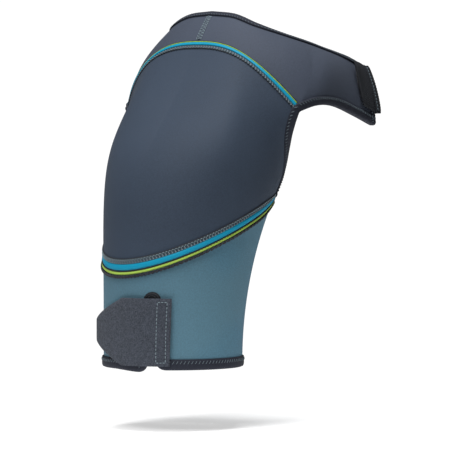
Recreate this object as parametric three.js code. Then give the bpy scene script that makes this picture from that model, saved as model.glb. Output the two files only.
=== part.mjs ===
// Compression wrap for one shoulder: an arm sleeve, a deltoid cap, a yoke with a chest wing and a back wing,
// and a strap that joins the wings. Millimetres, +Z up.
// The origin is where the wrap sits on top of the wearer's shoulder, at the middle of its neck edge.
// +X runs to the wearer's neck, -X to the outer side of the arm, -Y to the chest and +Y to the back.
import * as THREE from 'three';

// ---------- Driving dimensions ----------
const sleeveDrop = 285; // shoulder seat down to the sleeve's cut edge at the cuff
const armpitDrop = 143; // shoulder seat down to the armpit
const cuffRadius = 56; // outer radius of the sleeve at the cuff
const armpitRadius = 71; // outer radius of the sleeve at the armpit
const cuffAxisX = -51; // the sleeve's axis at the cuff
const axisLean = 1.5; // how far the axis moves to the neck for each millimetre that the radius grows
const taperPower = 2.1; // how late the sleeve's flare comes

const panelThickness = 4; // laminated neoprene
const trimGap = 0.3; // between any two layers that touch
const stripGap = 0.5; // between a strip or a binding and the fabric, which is coarser than they are
const seamGap = 0.4; // between two panels that are sewn edge to edge

const armholeAngle = 128; // half of the angle round the arm that the deltoid panel covers
const lowerSeamDrop = 174; // mean drop of the lower seam
const lowerSeamRise = 32; // how far the lower seam tilts up and down from its mean
const lowerSeamTwist = 12; // how far behind the outer side the lower seam is lowest

const upperSeamDrop = 27; // shoulder seat down to the top of the upper seam
const upperSeamOut = 20; // shoulder seat out to the top of the upper seam
const archHalfWidth = 88.5; // from the shoulder's middle plane to either end of the upper seam
const archFall = 53; // from the top of the upper seam down to its ends
const archSetIn = 20; // how far the upper seam's ends lie nearer to the neck than its top

const wingReach = 103; // shoulder seat to the end of each wing
const wingEndTop = 43; // drop of the wing's upper edge at its end
const wingEndBottom = 92; // drop of the wing's lower edge at its end
const wingTopHalfDepth = 76; // from the shoulder's middle plane to the wing's upper edge, at its end
const wingBottomHalfDepth = 89; // and to its lower edge
const shoulderBulge = 1; // how far the yoke bows out between its edges, on top
const chestBulge = 10; // on the chest, beside the armhole
const wingEndBulge = 3; // and at the ends of the wings

const bindingThickness = 1.2;
const bindingInnerGap = 0.9; // a binding's inner leg to the fabric
const bindingEdgeGap = 0.6; // and its web to the fabric's cut edge
const neckBindingWidth = 3.4;
const edgeBindingWidth = 6;
const hemBindingWidth = 7.5;

const slitAngle = 20; // the cuff slit, round the arm from its outer side towards the chest
const tabHeight = 54;
const slitHeight = tabHeight; // from the cut edge up, for the tab to close it
const slitTopWidth = 1.2;
const slitBottomWidth = 11;
const slitPatchRadius = 8;

const tabBottomLift = 2; // the tab's lower edge above the cut edge of the sleeve
const tabReach = 66; // from the hinge line to the tab's free end, measured round the arm
const tabTaperLength = 36;
const tabEndHeight = 19;
const tabSewnWidth = 12;
const tabThickness = 2.2;

const strapWidth = 40;
const strapThickness = 1.6;
const strapStandOff = 17; // how far beyond the wing ends the strap passes
const strapTabLength = 18;
const strapMiddleDrop = 53;

// ---------- Colours ----------
const navy = { color: 0x39424f, roughness: 0.8 };
const slate = { color: 0x454a5a, roughness: 0.8 };
const steelBlue = { color: 0x537a8f, roughness: 0.8 };
const charcoal = { color: 0x44454f, roughness: 0.95 };
const nearBlack = { color: 0x23252c, roughness: 0.9 };
const stitchGrey = { color: 0x5d6672, roughness: 0.9 };
const turquoise = { color: 0x0d9cc4, roughness: 0.7 };
const lime = { color: 0xa4cf3c, roughness: 0.7 };

// ---------- Small helpers ----------
const group = new THREE.Group();
const toRadians = THREE.MathUtils.degToRad;
const point = (x, y, z) => new THREE.Vector3(x, y, z);
const mix = THREE.MathUtils.lerp;
const steps = (from, to, count) => Array.from({ length: count + 1 }, (unused, i) => mix(from, to, i / count));

function addPiece(name, finish, triangles) {
  const geometry = new THREE.BufferGeometry();
  const corners = triangles.flatMap((p) => p.toArray());
  geometry.setAttribute('position', new THREE.Float32BufferAttribute(corners, 3));
  geometry.computeVertexNormals();
  const material = new THREE.MeshStandardMaterial({ ...finish, metalness: 0 });
  const mesh = new THREE.Mesh(geometry, material);
  mesh.name = name;
  group.add(mesh);
}

// Two triangles for the corners a, b, c, d, named in order round the face as seen from outside.
const quad = (a, b, c, d) => [a, b, c, a, c, d];

// ---------- The form that the wrap is cut to ----------
// Every surface is a function of two numbers and gives a point on the outer face of the fabric.
function sleeveRadius(z) {
  const rise = Math.max(0, (z + sleeveDrop) / (sleeveDrop - armpitDrop));
  return cuffRadius + (armpitRadius - cuffRadius) * rise ** taperPower;
}

const sleeveAxisX = (z) => cuffAxisX + axisLean * (sleeveRadius(z) - cuffRadius);

function sleevePoint(angle, z) {
  const radius = sleeveRadius(z);
  const turn = toRadians(angle);
  return point(sleeveAxisX(z) - radius * Math.cos(turn), -radius * Math.sin(turn), z);
}

const lowerSeamZ = (angle) => -lowerSeamDrop - lowerSeamRise * Math.cos(toRadians(angle + lowerSeamTwist));

// The upper seam, from the back armhole at -1 over the shoulder to the front one at 1.
function upperSeamPoint(across) {
  const aside = 1.25 * Math.abs(across) - 0.25 * Math.abs(across) ** 3;
  return point(
    archSetIn * aside ** 4 - upperSeamOut,
    -archHalfWidth * aside * Math.sign(across),
    -upperSeamDrop - archFall * aside ** 2.6,
  );
}

// The neck edge and the underarm arch of one half, from the shoulder's middle or the armhole to the wing's
// end.
const neckEdge = new THREE.CatmullRomCurve3([
  point(0, 0, 0),
  point(1, 24, -2.5),
  point(5, 42, -9.8),
  point(22, 56, -17.8),
  point(wingReach * 0.45, wingTopHalfDepth - 12, -wingEndTop + 18.2),
  point(wingReach * 0.58, wingTopHalfDepth - 8.5, -wingEndTop + 14),
  point(wingReach * 0.72, wingTopHalfDepth - 5.5, -wingEndTop + 10.2),
  point(wingReach * 0.86, wingTopHalfDepth - 2.8, -wingEndTop + 6),
  point(wingReach - 1, wingTopHalfDepth, -wingEndTop),
]);
const armholeTop = upperSeamPoint(-1);
const underarmArch = new THREE.CatmullRomCurve3([
  armholeTop,
  point(armholeTop.x + 19, wingBottomHalfDepth + 3, armholeTop.z + 5),
  point(wingReach * 0.44, wingBottomHalfDepth + 2, -wingEndBottom + 16.5),
  point(wingReach * 0.73, wingBottomHalfDepth + 1, -wingEndBottom + 9),
  point(wingReach + 1, wingBottomHalfDepth, -wingEndBottom),
]);
const armholeStation = 0.5; // where along the yoke the deltoid panel ends
const archBindingStation = 0.53; // where the binding of the underarm arch begins

// The yoke: along runs from -1, the end of the back wing, to 1, the end of the chest wing; down from 0 to 1.
function yokePoint(along, down) {
  const side = along < 0 ? 1 : -1;
  const station = Math.min(Math.abs(along), 1);
  const top = neckEdge.getPoint(station);
  const bottom = station <= armholeStation
    ? upperSeamPoint(-station / armholeStation)
    : underarmArch.getPoint((station - armholeStation) / (1 - armholeStation));
  const nearby = neckEdge.getTangent(Math.min(station, 0.999));
  const outward = new THREE.Vector3().crossVectors(nearby, bottom.clone().sub(top)).normalize();
  const toChest = THREE.MathUtils.smoothstep(station, 0.2, armholeStation);
  const toWingEnd = THREE.MathUtils.smoothstep(station, armholeStation, 1);
  const bulge = mix(mix(shoulderBulge, chestBulge, toChest), wingEndBulge, toWingEnd) * 4 * down * (1 - down);
  const result = top.lerp(bottom, down).addScaledVector(outward, bulge);
  return point(result.x, result.y * side, result.z);
}

// The deltoid panel: across from -1 at the back armhole to 1 at the front one, down from 0 at the upper seam
// to 1 where it meets the sleeve's own form, half a seam tape above the lower seam.
const lowerTapeWidth = 15;
// The direction of the armhole's front edge, just below the upper seam
const deltoidArmholeDirection = point(-0.42, 0.15, -0.9);
const deltoidFullness = 1.6;
function deltoidPoint(across, down) {
  const angle = armholeAngle * across;
  const start = upperSeamPoint(across);
  const endZ = lowerSeamZ(angle) + lowerTapeWidth / 2;
  const end = sleevePoint(angle, endZ);
  const length = start.distanceTo(end);
  const share = Math.abs(across) ** 3;
  const along = across * armholeStation;
  const edge = deltoidArmholeDirection.clone();
  edge.y *= Math.sign(across);
  const leave = yokePoint(along, 1).sub(yokePoint(along, 0.97)).normalize().lerp(edge, share).normalize();
  const arrive = sleevePoint(angle, endZ - 1).sub(end).normalize();
  const fullness = mix(deltoidFullness, 1, share) * length;
  const rest = 1 - down;
  return start.multiplyScalar((1 + 2 * down) * rest * rest)
    .addScaledVector(leave, fullness * down * rest * rest)
    .addScaledVector(end, down * down * (3 - 2 * down))
    .addScaledVector(arrive, -fullness * down * down * rest);
}

// The unit vector out of the fabric, found from two small steps on a surface.
const chestCore = point(40, 0, -100);
function outwardAt(surface, u, v, stepU, stepV) {
  const here = surface(u, v);
  const alongU = surface(u + stepU, v).sub(surface(u - stepU, v));
  const alongV = surface(u, v + stepV).sub(surface(u, v - stepV));
  const normal = alongU.cross(alongV).normalize();
  const core = here.z < -armpitDrop ? point(sleeveAxisX(here.z), 0, here.z) : chestCore;
  return normal.dot(here.sub(core)) < 0 ? normal.negate() : normal;
}

// ---------- Solids that lie on a surface ----------
// A closed sheet between the heights low and high over a surface. rows and columns are surface coordinates, place
// turns them into a point and its outward direction, and open says which cells are left out.
function sheetTriangles(columns, rows, place, low, high, { closed = false, open = () => false } = {}) {
  const count = columns.length;
  const cells = closed ? count : count - 1;
  const grid = rows.map((row) => columns.map((column) => {
    const { at, out } = place(column, row);
    return { top: at.clone().addScaledVector(out, high), base: at.clone().addScaledVector(out, low) };
  }));
  const filled = (i, j) => {
    if (i < 0 || i >= rows.length - 1) return false;
    if (!closed && (j < 0 || j >= cells)) return false;
    return !open(i, (j + count) % count);
  };
  const first = grid[0][0];
  const face = new THREE.Vector3().crossVectors(
    grid[0][1].top.clone().sub(first.top), grid[1][0].top.clone().sub(first.top));
  const flip = face.dot(first.top.clone().sub(first.base)) < 0;
  const triangles = [];
  const add = (a, b, c, d) => triangles.push(...(flip ? quad(d, c, b, a) : quad(a, b, c, d)));
  for (let i = 0; i < rows.length - 1; i += 1) {
    for (let j = 0; j < cells; j += 1) {
      if (!filled(i, j)) continue;
      const next = (j + 1) % count;
      const [a, b, c, d] = [grid[i][j], grid[i][next], grid[i + 1][next], grid[i + 1][j]];
      add(a.top, b.top, c.top, d.top);
      add(d.base, c.base, b.base, a.base);
      if (!filled(i - 1, j)) add(a.base, b.base, b.top, a.top);
      if (!filled(i + 1, j)) add(c.base, d.base, d.top, c.top);
      if (!filled(i, j - 1)) add(d.base, a.base, a.top, d.top);
      if (!filled(i, j + 1)) add(b.base, c.base, c.top, b.top);
    }
  }
  return triangles;
}

const onSurface = (surface, stepU, stepV) => (u, v) => ({
  at: surface(u, v),
  out: outwardAt(surface, u, v, stepU, stepV),
});

// A closed bar whose section, a list of points in order, changes from station to station.
function barTriangles(sections) {
  const triangles = [];
  const size = sections[0].length;
  const centre = (list) => list.reduce((sum, p) => sum.add(p), new THREE.Vector3()).divideScalar(list.length);
  const forward = centre(sections[1]).sub(centre(sections[0]));
  const shape = sections[0];
  const area = new THREE.Vector3();
  shape.forEach((p, k) => area.add(new THREE.Vector3().crossVectors(p, shape[(k + 1) % size])));
  const flip = area.dot(forward) < 0;
  const add = (list) => triangles.push(...(flip ? list.slice().reverse() : list));
  for (let i = 0; i < sections.length - 1; i += 1) {
    for (let k = 0; k < size; k += 1) {
      const next = (k + 1) % size;
      add(quad(sections[i][k], sections[i][next], sections[i + 1][next], sections[i + 1][k]));
    }
  }
  return { triangles, add };
}

// A binding folded over a cut edge. place(station, inside) is the fabric at a distance inside the edge.
function bindingTriangles(stations, place, width) {
  const outer = stripGap + bindingThickness;
  const inside = -panelThickness - bindingInnerGap;
  const section = (station) => {
    const edge = place(station, 0);
    const inner = place(station, width);
    const aside = edge.at.clone().sub(place(station, 1).at).normalize();
    const onEdge = (out, height) => edge.at.clone()
      .addScaledVector(aside, out)
      .addScaledVector(edge.out, height);
    const onLeg = (height) => inner.at.clone().addScaledVector(inner.out, height);
    return [
      onLeg(stripGap),
      onLeg(outer),
      onEdge(bindingEdgeGap, outer),
      onEdge(bindingEdgeGap + bindingThickness, 0),
      onEdge(bindingEdgeGap + bindingThickness, -panelThickness),
      onEdge(bindingEdgeGap, inside - bindingThickness),
      onLeg(inside - bindingThickness),
      onLeg(inside),
      onEdge(bindingEdgeGap, inside),
      onEdge(bindingEdgeGap, stripGap),
    ];
  };
  const sections = stations.map(section);
  const { triangles, add } = barTriangles(sections);
  // The C of the section is capped as its outer leg, its web and its inner leg.
  const cap = (s) => [
    ...quad(s[0], s[1], s[2], s[9]),
    ...quad(s[9], s[2], s[3], s[4]),
    s[9], s[4], s[8],
    ...quad(s[8], s[4], s[5], s[6]),
    s[8], s[6], s[7],
  ];
  add(cap(sections[0]).reverse());
  add(cap(sections.at(-1)));
  return triangles;
}

// ---------- Stations shared by everything that goes round the arm ----------
const angleOfArc = (length) => THREE.MathUtils.radToDeg(length / cuffRadius);
const slitTopZ = slitHeight - sleeveDrop;
const slitTopHalfAngle = angleOfArc(slitTopWidth / 2);
const slitBottomHalfAngle = angleOfArc(slitBottomWidth / 2);
const ringCells = 30;
const ringAngles = steps(slitAngle + slitTopHalfAngle, slitAngle + 360 - slitTopHalfAngle, ringCells);
const isFirst = (angle) => angle === ringAngles[0];
const isLast = (angle) => angle === ringAngles[ringCells];

function anglesBetween(from, to) {
  const spare = 3;
  const turns = [-360, 0, 360].flatMap((turn) => ringAngles.map((angle) => angle + turn));
  const inside = turns.filter((angle) => angle > from + spare && angle < to - spare);
  return [from, ...inside.sort((a, b) => a - b), to];
}

function slitHalfAngle(z) {
  const opened = THREE.MathUtils.clamp((slitTopZ - z) / slitHeight, 0, 1);
  return mix(slitTopHalfAngle, slitBottomHalfAngle, opened);
}

const onSleeve = onSurface(sleevePoint, 1, 1);
const onYoke = onSurface(yokePoint, 0.004, 0.01);

// ---------- Panels ----------
function sleevePanel() {
  const upperRows = 7;
  const lowerRows = 4;
  const rows = [...steps(0, 1, upperRows), ...steps(1, 2, lowerRows).slice(1)];
  const place = (column, row) => {
    const topZ = lowerSeamZ(column) - seamGap / 2;
    const z = row < 1 ? mix(topZ, slitTopZ, row) : mix(slitTopZ, -sleeveDrop, row - 1);
    if (isFirst(column)) return onSleeve(slitAngle + slitHalfAngle(z), z);
    if (isLast(column)) return onSleeve(slitAngle - slitHalfAngle(z), z);
    return onSleeve(column, z);
  };
  const open = (i, j) => i >= upperRows && j === ringCells;
  addPiece('sleeve_panel', steelBlue,
    sheetTriangles(ringAngles, rows, place, -panelThickness, 0, { closed: true, open }));
}

// The fabric's outward direction where the yoke and the deltoid panel meet.
function upperSeamOutward(across) {
  const yokeSide = outwardAt(yokePoint, across * armholeStation, 0.98, 0.004, 0.01);
  return yokeSide.add(outwardAt(deltoidPoint, across, 0.02, 0.01, 0.01)).normalize();
}

function deltoidPanel() {
  const bodyRows = 10;
  const rows = [...steps(0, 1, bodyRows), 2];
  const surface = (angle, row) => {
    if (row <= 1) return deltoidPoint(angle / armholeAngle, row);
    const drop = mix(lowerTapeWidth / 2, seamGap / 2, row - 1);
    return sleevePoint(angle, lowerSeamZ(angle) + drop);
  };
  const place = (angle, row) => {
    const across = angle / armholeAngle;
    if (row > 0) {
      return { at: surface(angle, row), out: outwardAt(surface, angle, Math.min(row, 1.99), 1, 0.01) };
    }
    const start = seamGap / 2 / upperSeamPoint(across).distanceTo(deltoidPoint(across, 1));
    return { at: deltoidPoint(across, start), out: upperSeamOutward(across) };
  };
  const columns = anglesBetween(-armholeAngle, armholeAngle);
  addPiece('deltoid_panel', navy, sheetTriangles(columns, rows, place, -panelThickness, 0));
}

const yokeColumnLength = (along) => yokePoint(along, 0).distanceTo(yokePoint(along, 1));
const yokeMiddleLength = () => yokePoint(0, 0.5).distanceTo(yokePoint(0.02, 0.5)) / 0.02;
const shoulderAlongs = [...anglesBetween(-armholeAngle, 0), ...anglesBetween(0, armholeAngle).slice(1)]
  .map((angle) => (angle / armholeAngle) * armholeStation);
const wingAlongs = [armholeStation, archBindingStation, ...steps(armholeStation, 1, 8).slice(1)];

function yokeAlongs(from, to) {
  const oneWing = wingAlongs.slice(1);
  const all = [...oneWing.map((along) => -along).reverse(), ...shoulderAlongs, ...oneWing];
  return [from, ...all.filter((along) => along > from + 0.01 && along < to - 0.01), to];
}

function yokePanel(name, from, to) {
  const rows = [0, 0.08, 0.25, 0.45, 0.65, 0.88, 1]; // closest together under the bindings
  const place = (along, row) => {
    const found = onYoke(along, row);
    if (Math.abs(along) < 0.01) found.out.setY(0).normalize();
    if (row < 1 || Math.abs(along) > armholeStation) return found;
    const down = 1 - seamGap / 2 / yokeColumnLength(along);
    return { at: yokePoint(along, down), out: upperSeamOutward(along / armholeStation) };
  };
  addPiece(name, slate, sheetTriangles(yokeAlongs(from, to), rows, place, -panelThickness, 0));
}

// ---------- Seams ----------
// Each strip of a seam is [name, finish, from, to, height]: its edges across the seam, and how thick it is.
function lowerSeam() {
  const reach = armholeAngle - 1;
  const narrowEnd = 0.6;
  const place = (angle, across) => {
    const towardsEnd = THREE.MathUtils.smoothstep(Math.abs(angle), reach * 0.8, reach);
    const width = mix(1, narrowEnd, towardsEnd);
    return onSleeve(angle, lowerSeamZ(angle) + (lowerTapeWidth / 2 - across) * width);
  };
  const strips = [
    ['lower_seam_cover_stitch', stitchGrey, 0.3, 4.3, 0.8],
    ['lower_seam_turquoise_tape', turquoise, 4.7, 8.7, 0.7],
    ['lower_seam_black_tape', nearBlack, 9.1, 10.4, 0.6],
    ['lower_seam_lime_cord', lime, 10.8, 12.6, 1.1],
    ['lower_seam_overlock_cord', nearBlack, 13, 15.8, 1.8],
  ];
  strips.forEach(([name, finish, from, to, height]) => addPiece(name, finish,
    sheetTriangles(anglesBetween(-reach, reach), [from, to], place, stripGap, stripGap + height)));
}

function upperSeam() {
  const bare = (edgeBindingWidth + 2) / (armpitRadius * toRadians(armholeAngle));
  const reach = (1 - bare) * armholeAngle;
  const onDeltoidSide = (angle, distance) => {
    const across = angle / armholeAngle;
    const down = distance / (deltoidFullness * upperSeamPoint(across).distanceTo(deltoidPoint(across, 1)));
    return { at: deltoidPoint(across, down), out: outwardAt(deltoidPoint, across, down, 0.01, 0.002) };
  };
  const onYokeSide = (angle, distance) => {
    const along = (angle / armholeAngle) * armholeStation;
    return onYoke(along, 1 - distance / yokeColumnLength(along));
  };
  const strips = [
    ['upper_seam_cover_stitch', stitchGrey, 0.5, 3.1, 0.8, onDeltoidSide],
    ['upper_seam_turquoise_tape', turquoise, 0.5, 2.7, 0.7, onYokeSide],
    ['upper_seam_lime_cord', lime, 3.1, 4, 0.9, onYokeSide],
  ];
  strips.forEach(([name, finish, from, to, height, place]) => addPiece(name, finish,
    sheetTriangles(anglesBetween(-reach, reach), [from, to], place, stripGap, stripGap + height)));
}

function flatlockSeams() {
  const halfWidth = 2.4;
  const height = 0.6;
  const alongs = steps(-halfWidth / yokeMiddleLength(), halfWidth / yokeMiddleLength(), 2);
  const shoulderRows = steps((neckBindingWidth + 1) / yokeColumnLength(0), 1 - 5 / yokeColumnLength(0), 2);
  addPiece('shoulder_seam_flatlock', stitchGrey,
    sheetTriangles(alongs, shoulderRows, onYoke, trimGap, trimGap + height));
  const angles = steps(180 - angleOfArc(halfWidth), 180 + angleOfArc(halfWidth), 1);
  const sleeveRows = steps(lowerSeamZ(180) - edgeBindingWidth - 1, hemBindingWidth + 1 - sleeveDrop, 6);
  addPiece('sleeve_closing_seam', stitchGrey,
    sheetTriangles(angles, sleeveRows, onSleeve, trimGap, trimGap + height));
}

// ---------- Bindings ----------
function yokeBindings() {
  const neck = (along, inside) => onYoke(along, inside / yokeColumnLength(along));
  addPiece('neck_binding', nearBlack, bindingTriangles(yokeAlongs(-1, 1), neck, neckBindingWidth));
  const arch = (along, inside) => onYoke(along, 1 - inside / yokeColumnLength(along));
  const wingLength = (down) => yokePoint(0.98, down).distanceTo(yokePoint(1, down)) / 0.02;
  const clearOfNeck = (neckBindingWidth + 1.2) / yokeColumnLength(1);
  const clearOfArch = (edgeBindingWidth + 1.2) / yokeColumnLength(1);
  [['front', 1], ['back', -1]].forEach(([side, sign]) => {
    const span = [sign * archBindingStation, sign].sort((a, b) => a - b);
    addPiece(`${side}_underarm_arch_binding`, nearBlack,
      bindingTriangles(yokeAlongs(...span), arch, edgeBindingWidth));
    const end = (down, inside) => onYoke(sign * (1 - inside / wingLength(down)), down);
    addPiece(`${side}_wing_end_binding`, nearBlack,
      bindingTriangles(steps(clearOfNeck, 1 - clearOfArch, 4), end, edgeBindingWidth));
    const armhole = (down, inside) => {
      const perAcross = deltoidPoint(sign, down).distanceTo(deltoidPoint(sign * 0.98, down)) / 0.02;
      const across = sign * (1 - inside / perAcross);
      return { at: deltoidPoint(across, down), out: outwardAt(deltoidPoint, across, down, 0.01, 0.01) };
    };
    addPiece(`${side}_armhole_binding`, nearBlack,
      bindingTriangles([0.06, ...steps(0.1, 0.9, 8), 0.98], armhole, edgeBindingWidth));
  });
}

function sleeveBindings() {
  const clear = armholeAngle + 3;
  const underarm = (angle, inside) => onSleeve(angle, lowerSeamZ(angle) - seamGap / 2 - inside);
  addPiece('underarm_binding', nearBlack,
    bindingTriangles(anglesBetween(clear, 360 - clear), underarm, edgeBindingWidth));
  const hem = (angle, inside) => onSleeve(angle, inside - sleeveDrop);
  const sideWidth = 3;
  const corner = slitBottomHalfAngle + angleOfArc(sideWidth + 1);
  addPiece('cuff_hem_binding', nearBlack,
    bindingTriangles(anglesBetween(slitAngle + corner, slitAngle + 360 - corner), hem, hemBindingWidth));
  const narrowest = 2 * (trimGap + bindingThickness) + 1;
  const sideHeight = slitHeight * (slitBottomWidth - narrowest) / (slitBottomWidth - slitTopWidth);
  [['front', 1], ['back', -1]].forEach(([side, sign]) => {
    const edge = (z, inside) => onSleeve(slitAngle + sign * (slitHalfAngle(z) + angleOfArc(inside)), z);
    addPiece(`slit_${side}_binding`, nearBlack,
      bindingTriangles(steps(-sleeveDrop, sideHeight - sleeveDrop, 4), edge, sideWidth));
  });
}

// A half-round patch, wider than high, that keeps the slit from tearing further.
function slitPatch() {
  const thickness = 1;
  const place = (turn, radius) => {
    const aside = angleOfArc(radius * Math.cos(toRadians(turn)));
    return onSleeve(slitAngle + aside, slitTopZ + radius * Math.sin(toRadians(turn)));
  };
  addPiece('slit_reinforcement', nearBlack,
    sheetTriangles(steps(0, 180, 10), [0.8, slitPatchRadius], place, trimGap, trimGap + thickness));
}

// ---------- Closure tab on the arm ----------
const overBindings = stripGap + bindingThickness + 0.4; // the height at which a tab clears the bindings
const hingeAngle = slitAngle + 4;
const hingeSplit = 0.6; // half of the slot between a tab's sewn end and its free end
const tabTurn = (length) => THREE.MathUtils.radToDeg(length / (cuffRadius + overBindings));
const tabMiddleZ = tabBottomLift + tabHeight / 2 - sleeveDrop;

function closureTab() {
  const halfHeight = (length) => {
    const taper = THREE.MathUtils.clamp((length - tabReach + tabTaperLength) / tabTaperLength, 0, 1);
    return mix(tabHeight / 2, tabEndHeight / 2, taper);
  };
  const endLift = 2.5;
  const placeAt = (margin) => (length, across) => {
    const found = onSleeve(hingeAngle - tabTurn(length), tabMiddleZ + (halfHeight(length) - margin) * across);
    const raised = endLift * THREE.MathUtils.smoothstep(length, tabReach - tabTaperLength, tabReach);
    found.at.addScaledVector(found.out, raised);
    return found;
  };
  const rows = steps(1, -1, 4);
  addPiece('closure_tab', charcoal, sheetTriangles(steps(hingeSplit, tabReach, 12), rows, placeAt(0),
    overBindings, overBindings + tabThickness));
  const padStart = 14;
  addPiece('closure_tab_hook_pad', nearBlack, sheetTriangles(steps(padStart, tabReach - 4, 8), rows,
    placeAt(hemBindingWidth + 1), trimGap, overBindings - trimGap));
  const sewnLengths = steps(-hingeSplit, -tabSewnWidth, 3);
  addPiece('closure_tab_sewn_end', charcoal,
    sheetTriangles(sewnLengths, rows, placeAt(0), overBindings, overBindings + tabThickness));
}

// ---------- Strap ----------
const strapTopShare = 0.04;
const strapRows = Math.ceil(strapWidth / 14); // so that it follows the wing that it lies on
const strapEdgeShare = (across) => strapTopShare + (across * strapWidth) / yokeColumnLength(1);

// The strap's inner face: along from -1, the end of the back wing, to 1, the end of the chest wing. Below -1 it
// lies on the back wing. across runs from 0 at its upper edge to 1 at its lower one.
const strapBendShare = 0.28; // of the way from a wing end to the middle
const backLap = 0.12; // of the yoke's length, on which the strap is sewn to the back wing
function strapPoint(along, across) {
  const sign = along < 0 ? -1 : 1;
  const share = strapEdgeShare(across);
  if (along < -1) {
    const found = onYoke(-1 + (-1 - along) * backLap, share);
    return found.at.addScaledVector(found.out, overBindings);
  }
  const start = onYoke(sign, share);
  const bendRadius = strapStandOff - overBindings;
  const from = start.at.addScaledVector(start.out, overBindings);
  const bendTurn = (turn) => point(
    from.x + bendRadius * Math.sin(turn),
    from.y + sign * bendRadius * (1 - Math.cos(turn)),
    from.z,
  );
  const inward = 1 - Math.abs(along);
  if (inward < strapBendShare) return bendTurn((Math.PI / 2) * (inward / strapBendShare));
  const bent = bendTurn(Math.PI / 2);
  const progress = (inward - strapBendShare) / (1 - strapBendShare);
  const eased = THREE.MathUtils.smoothstep(progress, 0, 1);
  const middleZ = -strapMiddleDrop + strapWidth * (0.5 - across);
  return point(
    mix(bent.x, wingReach + strapStandOff, eased),
    mix(bent.y, 0, progress),
    mix(bent.z, middleZ, eased),
  );
}

function strap() {
  const onStrap = onSurface(strapPoint, 0.01, 0.02);
  const bend = steps(1 - strapBendShare, 1, 5);
  const middle = steps(0, 1 - strapBendShare, 4);
  const half = [...middle.slice(0, -1), ...bend];
  const alongs = [-2, -1.5, ...half.slice(1).map((along) => -along).reverse(), ...half];
  addPiece('strap_elastic', nearBlack,
    sheetTriangles(alongs, steps(0, 1, strapRows), onStrap, 0, strapThickness));
  const tabAlong = (length) => 1 - length / (yokePoint(0.9, 0.4).distanceTo(yokePoint(1, 0.4)) / 0.1);
  const across = steps(strapEdgeShare(0), strapEdgeShare(1), strapRows + 1);
  const onWing = (length, share) => onYoke(tabAlong(length), share);
  const foldWidth = 2;
  const foldRise = 0.4; // of the sewn fold above the hook tab
  addPiece('strap_sewn_fold', nearBlack, sheetTriangles([0.4, foldWidth], across, onWing,
    overBindings, overBindings + strapThickness + foldRise));
  const tabLengths = steps(foldWidth + hingeSplit, strapTabLength, 4);
  addPiece('strap_hook_tab', nearBlack,
    sheetTriangles(tabLengths, across, onWing, overBindings, overBindings + strapThickness));
  const padLengths = steps(edgeBindingWidth + 2.5, strapTabLength - 1.5, 3);
  const padShares = steps(strapEdgeShare(0.15), strapEdgeShare(0.85), strapRows);
  addPiece('strap_hook_pad', charcoal,
    sheetTriangles(padLengths, padShares, onWing, trimGap, overBindings - trimGap));
  const onBackWing = (length, share) => onYoke(-tabAlong(length), share);
  addPiece('strap_back_reinforcement', nearBlack,
    sheetTriangles(padLengths, padShares, onBackWing, trimGap, overBindings - trimGap));
}

sleevePanel();
deltoidPanel();
yokePanel('front_yoke_panel', seamGap / 2 / yokeMiddleLength(), 1);
yokePanel('back_yoke_panel', -1, -seamGap / 2 / yokeMiddleLength());
lowerSeam();
upperSeam();
flatlockSeams();
yokeBindings();
sleeveBindings();
slitPatch();
closureTab();
strap();

export default group;
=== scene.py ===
"""Compression wrap for one shoulder: an arm sleeve, a deltoid cap, a yoke with two wings and a strap."""

import math

import bpy
import numpy as np
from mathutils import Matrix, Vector


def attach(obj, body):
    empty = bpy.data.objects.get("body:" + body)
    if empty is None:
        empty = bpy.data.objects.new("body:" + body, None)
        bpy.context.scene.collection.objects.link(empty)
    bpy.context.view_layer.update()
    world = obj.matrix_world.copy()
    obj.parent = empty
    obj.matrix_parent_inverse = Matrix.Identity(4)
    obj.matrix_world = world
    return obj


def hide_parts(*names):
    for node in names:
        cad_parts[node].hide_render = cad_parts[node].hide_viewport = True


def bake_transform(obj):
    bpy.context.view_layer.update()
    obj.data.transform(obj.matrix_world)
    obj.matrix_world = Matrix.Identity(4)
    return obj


bl_info = {
    "name": "Shoulder Wrap",
    "version": (1, 0, 0),
    "blender": (4, 5, 0),
    "location": "View3D > Sidebar > Wrap",
    "description": "Builds a neoprene shoulder wrap with its seams, bindings, tabs and strap",
    "category": "Add Mesh",
}

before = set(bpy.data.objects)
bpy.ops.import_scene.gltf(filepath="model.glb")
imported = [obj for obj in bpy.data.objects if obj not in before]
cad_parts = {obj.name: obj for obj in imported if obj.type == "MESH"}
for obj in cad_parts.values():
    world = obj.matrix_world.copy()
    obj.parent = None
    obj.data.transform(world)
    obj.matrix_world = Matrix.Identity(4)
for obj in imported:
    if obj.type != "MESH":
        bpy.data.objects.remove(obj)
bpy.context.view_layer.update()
MM = 0.001  # the forms below are in millimetres

# ---------- The form that the wrap is cut to, the same as the frame's ----------
SLEEVE_DROP = 285
ARMPIT_DROP = 143
CUFF_RADIUS = 56
ARMPIT_RADIUS = 71
CUFF_AXIS_X = -51
AXIS_LEAN = 1.5
TAPER_POWER = 2.1
PANEL_THICKNESS = 4
ARMHOLE_ANGLE = 128
LOWER_SEAM_DROP = 174
LOWER_SEAM_RISE = 32
LOWER_SEAM_TWIST = 12
LOWER_TAPE_WIDTH = 15
UPPER_SEAM_DROP = 27
UPPER_SEAM_OUT = 20
ARCH_HALF_WIDTH = 88.5
ARCH_FALL = 53
ARCH_SET_IN = 20
WING_REACH = 103
WING_END_TOP = 43
WING_END_BOTTOM = 92
WING_TOP_HALF_DEPTH = 76
WING_BOTTOM_HALF_DEPTH = 89
SHOULDER_BULGE = 1
CHEST_BULGE = 10
WING_END_BULGE = 3
ARMHOLE_STATION = 0.5
DELTOID_FULLNESS = 1.6
ARMHOLE_DIRECTION = np.array([-0.42, 0.15, -0.9])
SLIT_ANGLE = 20
SLIT_HEIGHT = 54
SLIT_CLOSED = 0.04
SLIT_BOTTOM_WIDTH = 11
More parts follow.
